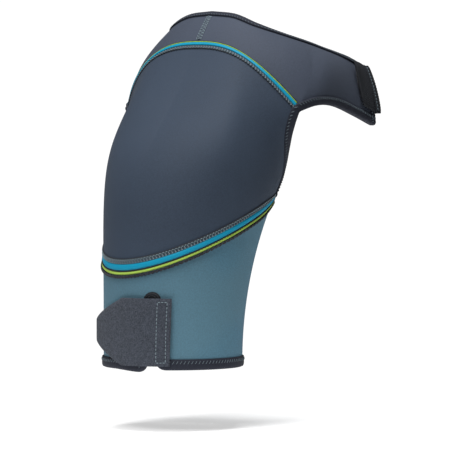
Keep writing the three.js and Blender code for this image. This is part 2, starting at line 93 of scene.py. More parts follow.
PATCH_RADIUS = 7.2
HINGE_ANGLE = 24
OVER_BINDINGS = 2.1
TAB_HEIGHT = 54
TAB_BOTTOM_LIFT = 2
TAB_REACH = 66
TAB_TAPER_LENGTH = 36
TAB_END_HEIGHT = 19
TAB_END_LIFT = 2.5
TAB_SEWN_WIDTH = 12
TAB_SEAMS = (-8.8, -1.4)
STRAP_WIDTH = 40
STRAP_STAND_OFF = 17
STRAP_MIDDLE_DROP = 53
STRAP_TOP_SHARE = 0.04
STRAP_BEND_SHARE = 0.28
STRAP_BACK_LAP = 0.12
HOOK_TAB_START = 2.6
HOOK_TAB_LENGTH = 18
FLOOR_DROP = 336  # the wrap hangs a little above the floor
FLOOR_RADIUS = 450
FLOOR_GLOW = 0.5

# ---------- Thread, tape and knit ----------
STITCH_LIFT = 0.25
STITCH_SIDES = 6
NECK_PITCH = 2.6
CUFF_PITCH = 2.8
PATCH_PITCH = 2.2
BINDING_RISE = 1.3
BAND_SUNK = 0.3
WELD_REACH = 0.06
EDGE_STEP = 0.9  # between the points of a cut edge
WALE = 0.9
COURSE = 0.7


def mix(a, b, share):
    return a + (b - a) * share


def ease(value, low, high):
    share = np.clip((value - low) / (high - low), 0, 1)
    return share * share * (3 - 2 * share)


def unit(v):
    return v / np.maximum(np.linalg.norm(v, axis=-1, keepdims=True), 1e-12)


def dot(a, b):
    return np.sum(a * b, axis=-1, keepdims=True)


def points(x, y, z):
    return np.stack(np.broadcast_arrays(x, y, z), axis=-1).astype(float)


class Through:
    """A smooth curve through points, with its parameter from 0 to 1, even in the number of points."""

    def __init__(self, through):
        p = np.array(through, float)
        p = np.vstack([2 * p[0] - p[1], p, 2 * p[-1] - p[-2]])
        gap = np.sqrt(np.linalg.norm(np.diff(p, axis=0), axis=1))[:, None]
        before, here, after = gap[:-2], gap[1:-1], gap[2:]
        p0, p1, p2, p3 = p[:-3], p[1:-2], p[2:-1], p[3:]
        t1 = ((p1 - p0) / before - (p2 - p0) / (before + here) + (p2 - p1) / here) * here
        t2 = ((p2 - p1) / here - (p3 - p1) / (here + after) + (p3 - p2) / after) * here
        self.cubic = [p1, t1, -3 * p1 + 3 * p2 - 2 * t1 - t2, 2 * p1 - 2 * p2 + t1 + t2]
        self.count = len(p1)

    def _local(self, share):
        scaled = np.clip(share, 0, 1) * self.count
        index = np.minimum(scaled.astype(int), self.count - 1)
        return index, (scaled - index)[..., None]

    def at(self, share):
        i, t = self._local(share)
        c0, c1, c2, c3 = (c[i] for c in self.cubic)
        return ((c3 * t + c2) * t + c1) * t + c0

    def tangent(self, share):
        i, t = self._local(share)
        c1, c2, c3 = (c[i] for c in self.cubic[1:])
        return unit((3 * c3 * t + 2 * c2) * t + c1)


def sleeve_radius(z):
    rise = np.maximum(0, (z + SLEEVE_DROP) / (SLEEVE_DROP - ARMPIT_DROP))
    return CUFF_RADIUS + (ARMPIT_RADIUS - CUFF_RADIUS) * rise ** TAPER_POWER


def sleeve_axis_x(z):
    return CUFF_AXIS_X + AXIS_LEAN * (sleeve_radius(z) - CUFF_RADIUS)


def sleeve(angle, z):
    """The arm sleeve: angle 0 is the outer side of the arm, positive to the chest."""
    angle, z = np.broadcast_arrays(np.asarray(angle, float), np.asarray(z, float))
    turn = np.radians(angle)
    radius = sleeve_radius(z)
    return points(sleeve_axis_x(z) - radius * np.cos(turn), -radius * np.sin(turn), z)


def lower_seam_z(angle):
    return -LOWER_SEAM_DROP - LOWER_SEAM_RISE * np.cos(np.radians(angle + LOWER_SEAM_TWIST))


def upper_seam(across):
    aside = 1.25 * np.abs(across) - 0.25 * np.abs(across) ** 3
    return points(
        ARCH_SET_IN * aside ** 4 - UPPER_SEAM_OUT,
        -ARCH_HALF_WIDTH * aside * np.sign(across),
        -UPPER_SEAM_DROP - ARCH_FALL * aside ** 2.6,
    )


NECK_EDGE = Through([
    (0, 0, 0),
    (1, 24, -2.5),
    (5, 42, -9.8),
    (22, 56, -17.8),
    (WING_REACH * 0.45, WING_TOP_HALF_DEPTH - 12, -WING_END_TOP + 18.2),
    (WING_REACH * 0.58, WING_TOP_HALF_DEPTH - 8.5, -WING_END_TOP + 14),
    (WING_REACH * 0.72, WING_TOP_HALF_DEPTH - 5.5, -WING_END_TOP + 10.2),
    (WING_REACH * 0.86, WING_TOP_HALF_DEPTH - 2.8, -WING_END_TOP + 6),
    (WING_REACH - 1, WING_TOP_HALF_DEPTH, -WING_END_TOP),
])
ARMHOLE_TOP = upper_seam(np.array(-1.0))
UNDERARM_ARCH = Through([
    ARMHOLE_TOP,
    (ARMHOLE_TOP[0] + 19, WING_BOTTOM_HALF_DEPTH + 3, ARMHOLE_TOP[2] + 5),
    (WING_REACH * 0.44, WING_BOTTOM_HALF_DEPTH + 2, -WING_END_BOTTOM + 16.5),
    (WING_REACH * 0.73, WING_BOTTOM_HALF_DEPTH + 1, -WING_END_BOTTOM + 9),
    (WING_REACH + 1, WING_BOTTOM_HALF_DEPTH, -WING_END_BOTTOM),
])


def yoke(along, down):
    """The yoke: along from -1, the back wing's end, to 1, the chest wing's end; down from 0 to 1."""
    along, down = np.broadcast_arrays(np.asarray(along, float), np.asarray(down, float))
    station = np.minimum(np.abs(along), 1)
    top = NECK_EDGE.at(station)
    on_arch = UNDERARM_ARCH.at((station - ARMHOLE_STATION) / (1 - ARMHOLE_STATION))
    on_seam = upper_seam(-np.minimum(station / ARMHOLE_STATION, 1))
    bottom = np.where((station <= ARMHOLE_STATION)[..., None], on_seam, on_arch)
    out = unit(np.cross(NECK_EDGE.tangent(np.minimum(station, 0.999)), bottom - top))
    chest = mix(SHOULDER_BULGE, CHEST_BULGE, ease(station, 0.2, ARMHOLE_STATION))
    bulge = mix(chest, WING_END_BULGE, ease(station, ARMHOLE_STATION, 1)) * 4 * down * (1 - down)
    found = mix(top, bottom, down[..., None]) + out * bulge[..., None]
    found[..., 1] *= np.where(along < 0, 1, -1)
    return found


def deltoid(across, down):
    """The deltoid cap: across from -1 at the back to 1 at the front, down from the upper seam to 1."""
    across, down = np.broadcast_arrays(np.asarray(across, float), np.asarray(down, float))
    angle = ARMHOLE_ANGLE * across
    start = upper_seam(across)
    end_z = lower_seam_z(angle) + LOWER_TAPE_WIDTH / 2
    end = sleeve(angle, end_z)
    length = np.linalg.norm(start - end, axis=-1)
    share = (np.abs(across) ** 3)[..., None]
    edge = ARMHOLE_DIRECTION * points(1, np.sign(across), 1)
    along = across * ARMHOLE_STATION
    leave = unit(mix(unit(yoke(along, 1) - yoke(along, 0.97)), edge, share))
    arrive = unit(sleeve(angle, end_z - 1) - end)
    fullness = (mix(DELTOID_FULLNESS, 1, share[..., 0]) * length)[..., None]
    down = down[..., None]
    rest = 1 - down
    return (start * (1 + 2 * down) * rest * rest + leave * fullness * down * rest * rest
            + end * down * down * (3 - 2 * down) - arrive * fullness * down * down * rest)


def cap(angle, row):
    """The deltoid cap and its lower edge, which lies on the sleeve's form: row 1 to 2 is that edge."""
    angle, row = np.broadcast_arrays(np.asarray(angle, float), np.asarray(row, float))
    upper = deltoid(angle / ARMHOLE_ANGLE, np.minimum(row, 1))
    drop = mix(LOWER_TAPE_WIDTH / 2, 0, np.clip(row - 1, 0, 1))
    return np.where((row <= 1)[..., None], upper, sleeve(angle, lower_seam_z(angle) + drop))


def outward(surface, u, v, step_u, step_v):
    """Unit vectors out of a surface."""
    here = surface(u, v)
    along_u = surface(u + step_u, v) - surface(u - step_u, v)
    along_v = surface(u, v + step_v) - surface(u, v - step_v)
    normal = unit(np.cross(along_u, along_v))
    on_arm = points(sleeve_axis_x(here[..., 2]), 0, here[..., 2])
    core = np.where(here[..., 2:] < -ARMPIT_DROP, on_arm, np.array([40.0, 0.0, -100.0]))
    return np.where(dot(normal, here - core) < 0, -normal, normal)


def on(surface, step_u, step_v):
    """A surface as a function that gives points at a height over it, and its outward vectors."""
    def place(u, v, height=0.0):
        u, v = np.broadcast_arrays(np.asarray(u, float), np.asarray(v, float))
        out = outward(surface, u, v, step_u, step_v)
        return surface(u, v) + out * np.asarray(height, float)[..., None], out
    return place


on_sleeve = on(sleeve, 1, 1)
on_yoke = on(yoke, 0.004, 0.01)
on_deltoid = on(deltoid, 0.01, 0.002)


def yoke_length(along):
    return np.linalg.norm(yoke(along, 0) - yoke(along, 1), axis=-1)


# ---------- Mesh building ----------
def run_of(line):
    """The length run along a line up to each of its points."""
    return np.concatenate([[0], np.cumsum(np.linalg.norm(np.diff(line, axis=0), axis=1))])


def grid_faces(rows, columns, wrap=False):
    """Faces of a grid of points, and the corners that they take from a grid of flat coordinates."""
    cells = columns if wrap else columns - 1
    r, c = np.meshgrid(np.arange(rows - 1), np.arange(cells), indexing="ij")

    def quads(stride, after):
        found = [r * stride + c, r * stride + after, (r + 1) * stride + after, (r + 1) * stride + c]
        return np.stack(found, -1).reshape(-1, 4)

    return quads(columns, (c + 1) % columns), quads(cells + 1, c + 1)


class Shape:
    """Vertices, faces and flat coordinates that are gathered from several parts into one mesh."""

    def __init__(self):
        self.vertices, self.faces, self.flat, self.count = [], [], [], 0

    def add(self, vertices, faces, flat):
        self.vertices.append(vertices)
        self.faces.extend([[i + self.count for i in face] for face in faces])
        self.flat.extend(flat)
        self.count += len(vertices)

    def surface(self, grid, flat, facing):
        """An open surface of rows by columns, wound so that it faces the way that facing does."""
        rows, columns = grid.shape[:2]
        faces, corners = grid_faces(rows, columns)
        i, j = rows // 2, columns // 2
        face = np.cross(grid[i, j] - grid[i, j - 1], grid[i, j] - grid[i - 1, j])
        if np.dot(face, facing[i, j]) < 0:
            faces, corners = faces[:, ::-1], corners[:, ::-1]
        self.add(grid.reshape(-1, 3), faces.tolist(), flat.reshape(-1, 2)[corners].tolist())

    def bar(self, sections):
        """A closed bar through sections, each the same number of points in a ring."""
        stations, size = sections.shape[:2]
        faces, corners = grid_faces(stations, size, wrap=True)
        centres = sections.mean(axis=1)
        run = run_of(centres)
        girth = run_of(np.concatenate([sections[0], sections[0][:1]]))
        flat = np.stack(np.meshgrid(run, girth, indexing="ij"), -1).reshape(-1, 2)[corners].tolist()
        faces = faces.tolist()
        faces += [list(range(size))[::-1], [(stations - 1) * size + k for k in range(size)]]
        flat += [[[0, g] for g in girth[:-1]][::-1], [[run[-1], g] for g in girth[:-1]]]
        spin = np.cross(sections[0] - centres[0], np.roll(sections[0], -1, axis=0) - centres[0]).sum(axis=0)
        if np.dot(spin, centres[1] - centres[0]) < 0:
            faces = [face[::-1] for face in faces]
            flat = [corner[::-1] for corner in flat]
        self.add(sections.reshape(-1, 3), faces, flat)

    def threads(self, starts, ends, outs, radius):
        """One short rounded stitch from each start to its end, bowed outward."""
        share = np.array([0, 0.12, 0.5, 0.88, 1])
        swell = np.array([0.35, 0.9, 1, 0.9, 0.35]) * radius
        along = unit(ends - starts)
        side = unit(np.cross(along, outs))
        up = np.cross(side, along)
        bow = (STITCH_LIFT * 4 * share * (1 - share))[None, :, None]
        centre = mix(starts[:, None], ends[:, None], share[None, :, None]) + outs[:, None] * bow
        turn = np.arange(STITCH_SIDES) * 2 * math.pi / STITCH_SIDES
        around = side[:, None] * np.cos(turn)[None, :, None] + up[:, None] * np.sin(turn)[None, :, None]
        rings = centre[:, :, None] + around[:, None] * swell[None, :, None, None]
        faces = grid_faces(len(share), STITCH_SIDES, wrap=True)[0][:, ::-1].tolist()
        last = (len(share) - 1) * STITCH_SIDES
        faces += [list(range(STITCH_SIDES)), [last + k for k in range(STITCH_SIDES)][::-1]]
        flat = [[[0.0, 0.0]] * len(face) for face in faces]
        for thread in rings.reshape(len(starts), -1, 3):
            self.add(thread, faces, flat)

    def ribbon(self, place, stations, edges, height):
        """A flat band with a crowned top. place(station, across, height) gives its points."""
        across = np.linspace(*edges, 7)
        crown = height * (1 - 0.55 * np.linspace(-1, 1, 7) ** 4)
        top, _ = place(stations[:, None], across[None, :], crown[None, :])
        base, _ = place(stations[:, None], across[None, ::-1], np.full((1, 7), -BAND_SUNK))
        self.bar(np.concatenate([top, base], axis=1))

    def make(self, name, finishes, slot, body="wrap"):
        mesh = bpy.data.meshes.new(name)
        mesh.from_pydata((np.concatenate(self.vertices) * MM).tolist(), [], self.faces)
        layer = mesh.uv_layers.new(name="cut")
        layer.data.foreach_set("uv", np.array([c for face in self.flat for c in face], float).ravel())
        mesh.polygons.foreach_set("use_smooth", [True] * len(mesh.polygons))
        for finish in finishes:
            mesh.materials.append(LOOKS[finish])
        made = bpy.data.objects.new(name, mesh)
        bpy.context.scene.collection.objects.link(made)
        if body:
            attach(made, body)
        return made


def thicken(piece):
    """Gives a surface the fabric's thickness, with the points that meet at its corners made one."""
    weld = piece.modifiers.new("weld", "WELD")
    weld.merge_threshold = WELD_REACH * MM
    solid = piece.modifiers.new("thickness", "SOLIDIFY")
    solid.thickness = PANEL_THICKNESS * MM
    solid.offset = -1
    solid.material_offset = 1
    bpy.context.view_layer.update()
    made = bpy.data.meshes.new_from_object(piece.evaluated_get(bpy.context.evaluated_depsgraph_get()))
    piece.modifiers.clear()
    piece.data = made


def along_line(at, run, values):
    """Values that are known at each run of a line, found at other runs."""
    return np.stack([np.interp(at, run, values[:, k]) for k in range(3)], -1)


def soften(values, width):
    """Values along an edge, smoothed over a width."""
    reach = int(3 * width / EDGE_STEP) + 1
    weight = np.exp(-0.5 * (np.arange(-reach, reach + 1) * EDGE_STEP / width) ** 2)
    weight /= weight.sum()
    padded = np.concatenate([2 * values[:1] - values[reach:0:-1], values,
                             2 * values[-1:] - values[-2:-reach - 2:-1]])
    return np.stack([np.convolve(padded[:, k], weight, "valid") for k in range(3)], -1)


class Edge:
    """A cut edge of the fabric as a line, with the directions into the fabric and out of its face."""

    def __init__(self, edge, inner, out, round_off=1.5, turn_over=3.0):
        run = run_of(edge)
        keep = np.concatenate([[True], np.diff(run) > 1e-6])
        run, edge, inner, out = run[keep], edge[keep], inner[keep], out[keep]
        even = np.linspace(0, run[-1], int(run[-1] / EDGE_STEP))
        self.edge = soften(along_line(even, run, edge), round_off)
        self.out = unit(soften(along_line(even, run, out), turn_over))
        self.into = soften(along_line(even, run, unit(inner - edge)), turn_over)
        tangent = unit(np.gradient(self.edge, axis=0))
        self.into -= tangent * dot(self.into, tangent)
        self.into = unit(self.into - self.out * dot(self.into, self.out))
        self.run = run_of(self.edge)
        self.length = self.run[-1]

    def at(self, run, inside, height):
        """Points at a run along the edge, a distance inside it and a height over the face."""
        run, inside, height = np.broadcast_arrays(run, inside, height)
        line, into, out = (along_line(run, self.run, each) for each in (self.edge, self.into, self.out))
        out = unit(out)
        return line + unit(into) * inside[..., None] + out * height[..., None], out


def bind(shape, edge, width, pitch, pucker=0.12):
    """A folded tape over a cut edge, as a bar whose inner side is hidden in the fabric."""
    run = np.linspace(0, edge.length, int(edge.length / EDGE_STEP))
    under, top = -PANEL_THICKNESS, BINDING_RISE
    wide = width if callable(width) else (lambda r: np.full_like(r, width))
    profile = [
        (1, -0.2), (1, top * 0.55), (0.94, top * 0.9), (0.7, top), (0.35, top), (0.1, top * 0.95),
        (-0.6, top * 0.55), (-1.15, -0.4), (-1.3, under / 2), (-1.15, under + 0.4),
        (-0.6, under - top * 0.55), (0.1, under - top * 0.95), (0.5, under - top),
        (0.94, under - top * 0.9), (1, under - top * 0.55), (1, under + 0.2),
    ]
    inside = np.stack([wide(run) * a if a >= 0 else np.full_like(run, a) for a, _ in profile], -1)
    height = np.stack([np.full_like(run, h) for _, h in profile], -1)
    ripple = pucker * np.cos(2 * math.pi * run / pitch)[:, None]
    found, _ = edge.at(run[:, None], inside, height + np.where(height > 0.5, ripple, 0))
    shape.bar(found)


def zigzag(shape, edge, low, high, height, pitch, radius, start=2.0, stop=None):
    """Stitches that run to and fro along an edge, of which only those one way lie on this face."""
    stop = edge.length - 2 if stop is None else stop
    count = int((stop - start) / (pitch / 2))
    run = np.linspace(start, stop, count + 1)
    inside = np.where(np.arange(count + 1) % 2, high, low)
    found, out = edge.at(run, inside, np.full(count + 1, height))
    shape.threads(found[:-1:2], found[1::2][:len(found[:-1:2])], out[:-1:2], radius)


def measured(place, stations, across, height):
    """Fine stations along a row on a surface, and the length run up to each."""
    fine = np.linspace(stations[0], stations[-1], 400)
    line, _ = place(fine, np.full(400, float(across)), np.full(400, float(height)))
    return fine, run_of(line)


def row(shape, place, stations, across, height, pitch, radius, gap=0.25):
    """A row of straight stitches. place(station, across, height) gives its points."""
    fine, run = measured(place, stations, across, height)
    count = max(1, int(run[-1] / pitch))
    across, height = np.full(count, float(across)), np.full(count, float(height))
    starts = np.interp((np.arange(count) + gap / 2) * run[-1] / count, run, fine)
    ends = np.interp((np.arange(count) + 1 - gap / 2) * run[-1] / count, run, fine)
    first, out = place(starts, across, height)
    last, _ = place(ends, across, height)
    shape.threads(first, last, out, radius)


def ladder(shape, place, stations, low, high, height, pitch, radius, every=1):
    """Stitches that run to and fro between two lines on a surface."""
    fine, run = measured(place, stations, (low + high) / 2, height)
    count = max(2, int(run[-1] / (pitch / 2)))
    at = np.interp(np.arange(count + 1) * run[-1] / count, run, fine)
    across = np.where(np.arange(count + 1) % 2, high, low)
    found, out = place(at, across, np.full(count + 1, float(height)))
    shape.threads(found[:-1][::every], found[1:][::every], out[:-1][::every], radius)


# ---------- Materials ----------
class Wire:
    """A number on its way through a tree's nodes, which takes part in arithmetic."""

    def __init__(self, tree, socket):
        self.tree, self.socket = tree, socket

    def _math(self, operation, *values):
        return self.tree.node("ShaderNodeMath", {"operation": operation}, dict(enumerate(values)))

    def __add__(self, other):
        return self._math("ADD", self, other)

    def __sub__(self, other):
        return self._math("SUBTRACT", self, other)

    def __rsub__(self, other):
        return self._math("SUBTRACT", other, self)

    def __mul__(self, other):
        return self._math("MULTIPLY", self, other)

    def __abs__(self):
        return self._math("ABSOLUTE", self)

    __radd__, __rmul__ = __add__, __mul__

    def wave(self, length):
        """A sine that repeats after each length."""
        return self._math("SINE", self * (2 * math.pi / length))

    def fraction(self):
        return self._math("FRACT", self)

    def between(self, low, high):
        return self.tree.node("ShaderNodeMapRange", {"interpolation_type": "SMOOTHSTEP"},
                              {0: self, 1: low, 2: high})


class Tree:
    """A node tree and one method that makes any node in it."""

    def __init__(self, tree):
        self.nodes, self.links = tree.nodes, tree.links

    def plug(self, target, value):
        if isinstance(value, Wire):
            self.links.new(value.socket, target)
        else:
            target.default_value = value

    def node(self, kind, settings=None, sockets=None, output=0):
        made = self.nodes.new(kind)
        for key, value in (settings or {}).items():
            setattr(made, key, value)
        for key, value in (sockets or {}).items():
            self.plug(made.inputs[key], value)
        return Wire(self, made.outputs[output])


class Look(Tree):
    """A material and its shader."""

    def __init__(self, name, roughness, sheen=0.0, sheen_roughness=0.5, specular=0.3):
        self.material = bpy.data.materials.new(name)
        self.material.use_nodes = True
        super().__init__(self.material.node_tree)
        self.shader = self.nodes["Principled BSDF"]
        for socket, value in (("Roughness", roughness), ("Sheen Weight", sheen),
                              ("Sheen Roughness", sheen_roughness), ("Specular IOR Level", specular)):
            self.shader.inputs[socket].default_value = value

    def flat(self):
        """The piece's flat coordinates, in millimetres."""
        place = self.node("ShaderNodeUVMap", {"uv_map": "cut"})
        return [self.node("ShaderNodeSeparateXYZ", {}, {0: place}, axis) for axis in (0, 1)]

    def noise(self, per_metre, detail=2.0, rough=0.5):
        place = self.node("ShaderNodeTexCoord", output="Object")
        return self.node("ShaderNodeTexNoise", {},
                         {"Vector": place, "Scale": per_metre, "Detail": detail, "Roughness": rough})

    def blend(self, share, low, high):
        """A mix of two colours, each of them plain or made by other nodes."""
        low, high = (each if isinstance(each, Wire) else (*each[:3], 1) for each in (low, high))
        return self.node("ShaderNodeMix", {"data_type": "RGBA"}, {0: share, 6: low, 7: high}, output=2)

    def tones(self, share, colour, dark, light):
        """A colour that runs between a darker and a lighter tone of itself."""
        return self.blend(share, shade(colour, dark), shade(colour, light))

    def finish(self, colour, height=None, distance=0.0002, strength=0.5, roughness=None):
        self.plug(self.shader.inputs["Base Color"], colour)
        if roughness is not None:
            self.plug(self.shader.inputs["Roughness"], roughness)
        if height is not None:
            bump = self.node("ShaderNodeBump", {},
                             {"Height": height, "Distance": distance, "Strength": strength})
            self.plug(self.shader.inputs["Normal"], bump)
        return self.material


def shade(colour, factor):
    return tuple(min(1.0, c * factor) for c in colour[:3])


def knit_look(name, colour, warm):
    """Jersey laminated on neoprene: fine wales, a soft mottle and a light bloom."""
    look = Look(name, 0.7, sheen=0.03, sheen_roughness=0.45, specular=0.22)
    u, v = look.flat()
    column = (u * (1 / WALE)).fraction() - 0.5
    stitch = (v * (1 / COURSE) + abs(column) * 1.1).wave(1)
    height = stitch * 0.35 + abs(u.wave(2 * WALE)) * 0.65
    mottle = look.noise(900.0, 3.0, 0.65).between(0.3, 0.7)
    cloud = look.noise(14.0, 2.0, 0.45).between(0.32, 0.68)
    base = look.tones(mottle * 0.75 + height * 0.12, colour, 0.84, 1.18)
    tinted = look.blend(cloud * 0.3, base, warm)
    crease = look.noise(60.0)
    return look.finish(tinted, height * 0.6 + mottle * 0.25 + crease * 1.5, roughness=mottle * 0.12 + 0.64)


def lining_look(name, colour):
    """Smooth lining with a fine rib."""
    look = Look(name, 0.8, sheen=0.03, specular=0.15)
    u, v = look.flat()
    rib = u.wave(1.6) * 0.5 + v.wave(0.8) * 0.3
    mottle = look.noise(500.0)
    return look.finish(look.tones(mottle, colour, 0.8, 1.2), rib * 0.5 + mottle * 0.4, 0.00015, 0.4)


def tape_look(name, colour, rib, roughness, contrast=0.25):
    """Woven tape with fine ribs across it."""
    look = Look(name, roughness, sheen=0.02, specular=0.2)
    u, v = look.flat()
    weave = u.wave(rib) * v.wave(rib * 0.7) * 0.5 + 0.5
    mottle = look.noise(700.0)
    base = look.tones(weave * 0.6 + mottle * 0.4, colour, 1 - contrast, 1 + contrast)
    return look.finish(base, weave * 0.7 + mottle * 0.3, 0.00018)


def brushed_look(name, colour):
    """Brushed loop fabric: short heathered fibres that lie every way."""
    look = Look(name, 0.92, sheen=0.06, sheen_roughness=0.6, specular=0.1)
    u, v = look.flat()
    fibres = look.noise(1100.0, 4.0, 0.75).between(0.36, 0.66)
    tufts = look.noise(420.0, 3.0, 0.6).between(0.3, 0.7)
    weave = u.wave(1.3) * v.wave(1.1)
    base = look.tones(fibres * 0.65 + tufts * 0.25 + weave * 0.1, colour, 0.5, 1.75)
    return look.finish(base, fibres * 0.6 + tufts * 0.5 + weave * 0.2, 0.0005, 0.7)


def elastic_look(name, colour):
    """Woven elastic webbing: ribs along it, fine picks across."""
    look = Look(name, 0.7, sheen=0.02, specular=0.2)
    u, v = look.flat()
    picks = u.wave(0.9) * 0.5 + 0.5
    weave = (v.wave(1.8) * 0.5 + 0.5) * (picks * 0.6 + 0.4)
    return look.finish(look.tones(weave, colour, 0.55, 1.6), weave, 0.0004, 0.7)


def hook_look(name, colour):
    """Hook tape: close rows of small stiff hooks."""
    look = Look(name, 0.42, specular=0.5)
    u, v = look.flat()
    hooks = (u.wave(1.5) * v.wave(1.2)).between(0.1, 0.9)
    return look.finish(look.tones(hooks, colour, 0.6, 2.2), hooks, 0.0006, 0.9)


def thread_look(name, colour):
    """Twisted polyester thread."""
    look = Look(name, 0.55, sheen=0.05, specular=0.4)
    twist = look.noise(1800.0)
    return look.finish(look.tones(twist, colour, 0.75, 1.25), twist, 0.0001, 0.3)


def floor_look(name, colour):
    """Matte paper sweep with a barely uneven tone."""
    look = Look(name, 0.95, specular=0.05)
    look.shader.inputs["Emission Color"].default_value = (1, 1, 1, 1)
    look.shader.inputs["Emission Strength"].default_value = FLOOR_GLOW
    return look.finish(look.tones(look.noise(2.0, 1.0), colour, 0.998, 1))


LOOKS = {}


def make_looks(colours):
    LOOKS.update({
        "deltoid": knit_look("navy_neoprene", colours.deltoid, shade(colours.deltoid, 1.3)),
        "yoke": knit_look("slate_neoprene", colours.yoke, shade(colours.yoke, 1.25)),
        "sleeve": knit_look("blue_neoprene", colours.sleeve, colours.sleeve_warm),
        "lining": lining_look("dark_lining", colours.lining),
        "binding": tape_look("black_binding", colours.binding, 1.2, 0.78),
        "band": tape_look("grey_stitch_band", colours.band, 1.0, 0.8, 0.35),
        "turquoise": tape_look("turquoise_tape", colours.turquoise, 0.9, 0.5, 0.12),
        "lime": tape_look("lime_piping", colours.lime, 0.8, 0.55, 0.16),
        "charcoal": brushed_look("charcoal_loop", colours.tab),
        "elastic": elastic_look("black_elastic", colours.elastic),
        "hooks": hook_look("hook_tape", colours.hooks),
        "thread": thread_look("grey_thread", colours.thread),
        "edge_thread": thread_look("edge_thread", colours.edge_thread),
        "dark_thread": thread_look("dark_thread", colours.dark_thread),
        "floor": floor_look("floor", colours.floor),
    })


# ---------- Settings ----------
def colour_setting(name, description, default):
    return bpy.props.FloatVectorProperty(
        name=name, description=description, subtype="COLOR", size=3, min=0, max=1, default=default)


def length_setting(name, description, default):
    return bpy.props.FloatProperty(
        name=name, description=description, unit="LENGTH", min=0, default=default, precision=5)


class WrapColours(bpy.types.PropertyGroup):
    """Colours of the wrap's fabrics, threads and floor"""
    deltoid: colour_setting("Deltoid cap", "Knit face of the deltoid cap", (0.036, 0.052, 0.080))
    yoke: colour_setting("Yoke", "Knit face of the yoke and wings", (0.052, 0.064, 0.092))
    sleeve: colour_setting("Sleeve", "Knit face of the arm sleeve", (0.074, 0.182, 0.258))
    sleeve_warm: colour_setting("Sleeve mottle", "Lighter patches of the arm sleeve", (0.128, 0.205, 0.230))
    lining: colour_setting("Lining", "Inner face of every panel", (0.022, 0.025, 0.032))
    binding: colour_setting("Binding", "Folded tape round the cut edges", (0.021, 0.024, 0.036))
    band: colour_setting("Stitch band", "Ground of the cover stitched bands", (0.050, 0.072, 0.090))
    turquoise: colour_setting("Turquoise tape", "Tape in both curved seams", (0.004, 0.290, 0.470))
    lime: colour_setting("Lime piping", "Thin piping in both curved seams", (0.400, 0.600, 0.095))
    tab: colour_setting("Closure tab", "Brushed loop face of the arm's closure tab", (0.054, 0.062, 0.080))
    elastic: colour_setting("Elastic", "Strap webbing", (0.018, 0.021, 0.027))
    hooks: colour_setting("Hook tape", "Hook pads under both tabs", (0.018, 0.019, 0.023))
    thread: colour_setting("Light thread", "Cover stitches, and those on the tabs", (0.215, 0.285, 0.320))
    edge_thread: colour_setting("Edge thread", "Zigzags along the folded tapes", (0.105, 0.140, 0.165))
    dark_thread: colour_setting("Dark thread", "Overlock and dashed rows", (0.016, 0.018, 0.024))
    floor: colour_setting("Floor", "Paper sweep", (0.93, 0.93, 0.93))


class WrapSizes(bpy.types.PropertyGroup):
    """Sizes of the wrap's trims"""
    neck_binding: length_setting("Neck binding", "Width of the tape on the neck edge", 0.0038)
    edge_binding: length_setting("Edge binding", "Width of the tape on the wings and armhole", 0.006)
    hem_binding: length_setting("Hem binding", "Width of the tape on the cuff", 0.0076)
    slit_binding: length_setting("Slit binding", "Width of the tape on the slit's sides", 0.0036)
    slit_corner: length_setting("Slit corner", "Radius of the cuff's corners at the slit", 0.006)
    slit_sag: length_setting("Slit sag", "How far the cuff's back corner hangs below the hem", 0.002)
    tab_thickness: length_setting("Tab thickness", "Thickness of the closure tab", 0.0022)
    strap_thickness: length_setting("Strap thickness", "Thickness of the elastic strap", 0.0016)
    thread_radius: length_setting("Thread radius", "Radius of the light stitches", 0.00028)
    stitch_pitch: length_setting("Stitch pitch", "Length of one stitch", 0.0027)


def mm(name):
    return getattr(bpy.context.scene.wrap_sizes, name) / MM


# ---------- Pieces ----------
SLOTS = {
    "deltoid": "navy_neoprene", "yoke": "slate_neoprene", "sleeve": "blue_neoprene",
    "binding": "black_binding", "band": "grey_stitch", "turquoise": "turquoise_tape", "lime": "lime_cord",
    "charcoal": "charcoal_loop", "elastic": "black_elastic", "hooks": "hook_tape",
    "thread": "grey_stitch", "edge_thread": "grey_stitch", "dark_thread": "black_binding",
}


def add_piece(name, shape, finish, *nodes, slot=None, body="wrap"):
    """A piece of one finish that stands for the frame's nodes."""
    made = shape.make(name, [finish], slot or SLOTS[finish], body)
    if nodes:
        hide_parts(*nodes)
    return made


def panel(name, finish, surface, u, v, facing):
    """A neoprene panel whose knit face lies on a surface, and the area of that face."""
    grid = surface(u, v)
    shape = Shape()
    shape.surface(grid, flat_of(grid), facing)
    made = shape.make(name, [finish, "lining"], SLOTS[finish], body=None)
    thicken(made)
    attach(made, "wrap")
    return made, area_of(grid)


def lay_bands(place, stations, bands):
    """Flat tapes on a surface: the name, finish and nodes of each, its two edges and its height."""
    for name, finish, nodes, low, high, height in bands:
        shape = Shape()
        shape.ribbon(place, stations, (low, high), height)
        add_piece(name, shape, finish, *nodes)


def sew(name, finish, place, stations, rows=(), ladders=()):
    """Stitches on a surface, with their pitch and thickness as shares of the usual ones."""
    radius, pitch = mm("thread_radius"), mm("stitch_pitch")
    shape = Shape()
    for across, height, long, thick, gap in rows:
        row(shape, place, stations, across, height, pitch * long, radius * thick, gap)
    for low, high, height, long, thick, every in ladders:
        ladder(shape, place, stations, low, high, height, pitch * long, radius * thick, every)
    add_piece(name, shape, finish)


def slit_half_angle(z):
    """Half of the cuff slit's width, with its two lower corners rounded."""
    opened = np.clip((SLIT_HEIGHT - SLEEVE_DROP - z) / SLIT_HEIGHT, 0, 1)
    width = mix(SLIT_CLOSED / 2, SLIT_BOTTOM_WIDTH / 2, opened)
    corner = mm("slit_corner")
    above = np.clip(z + SLEEVE_DROP, 0, corner)
    rounding = corner - np.sqrt(corner ** 2 - (corner - above) ** 2)
    return np.degrees((width + rounding) / CUFF_RADIUS)


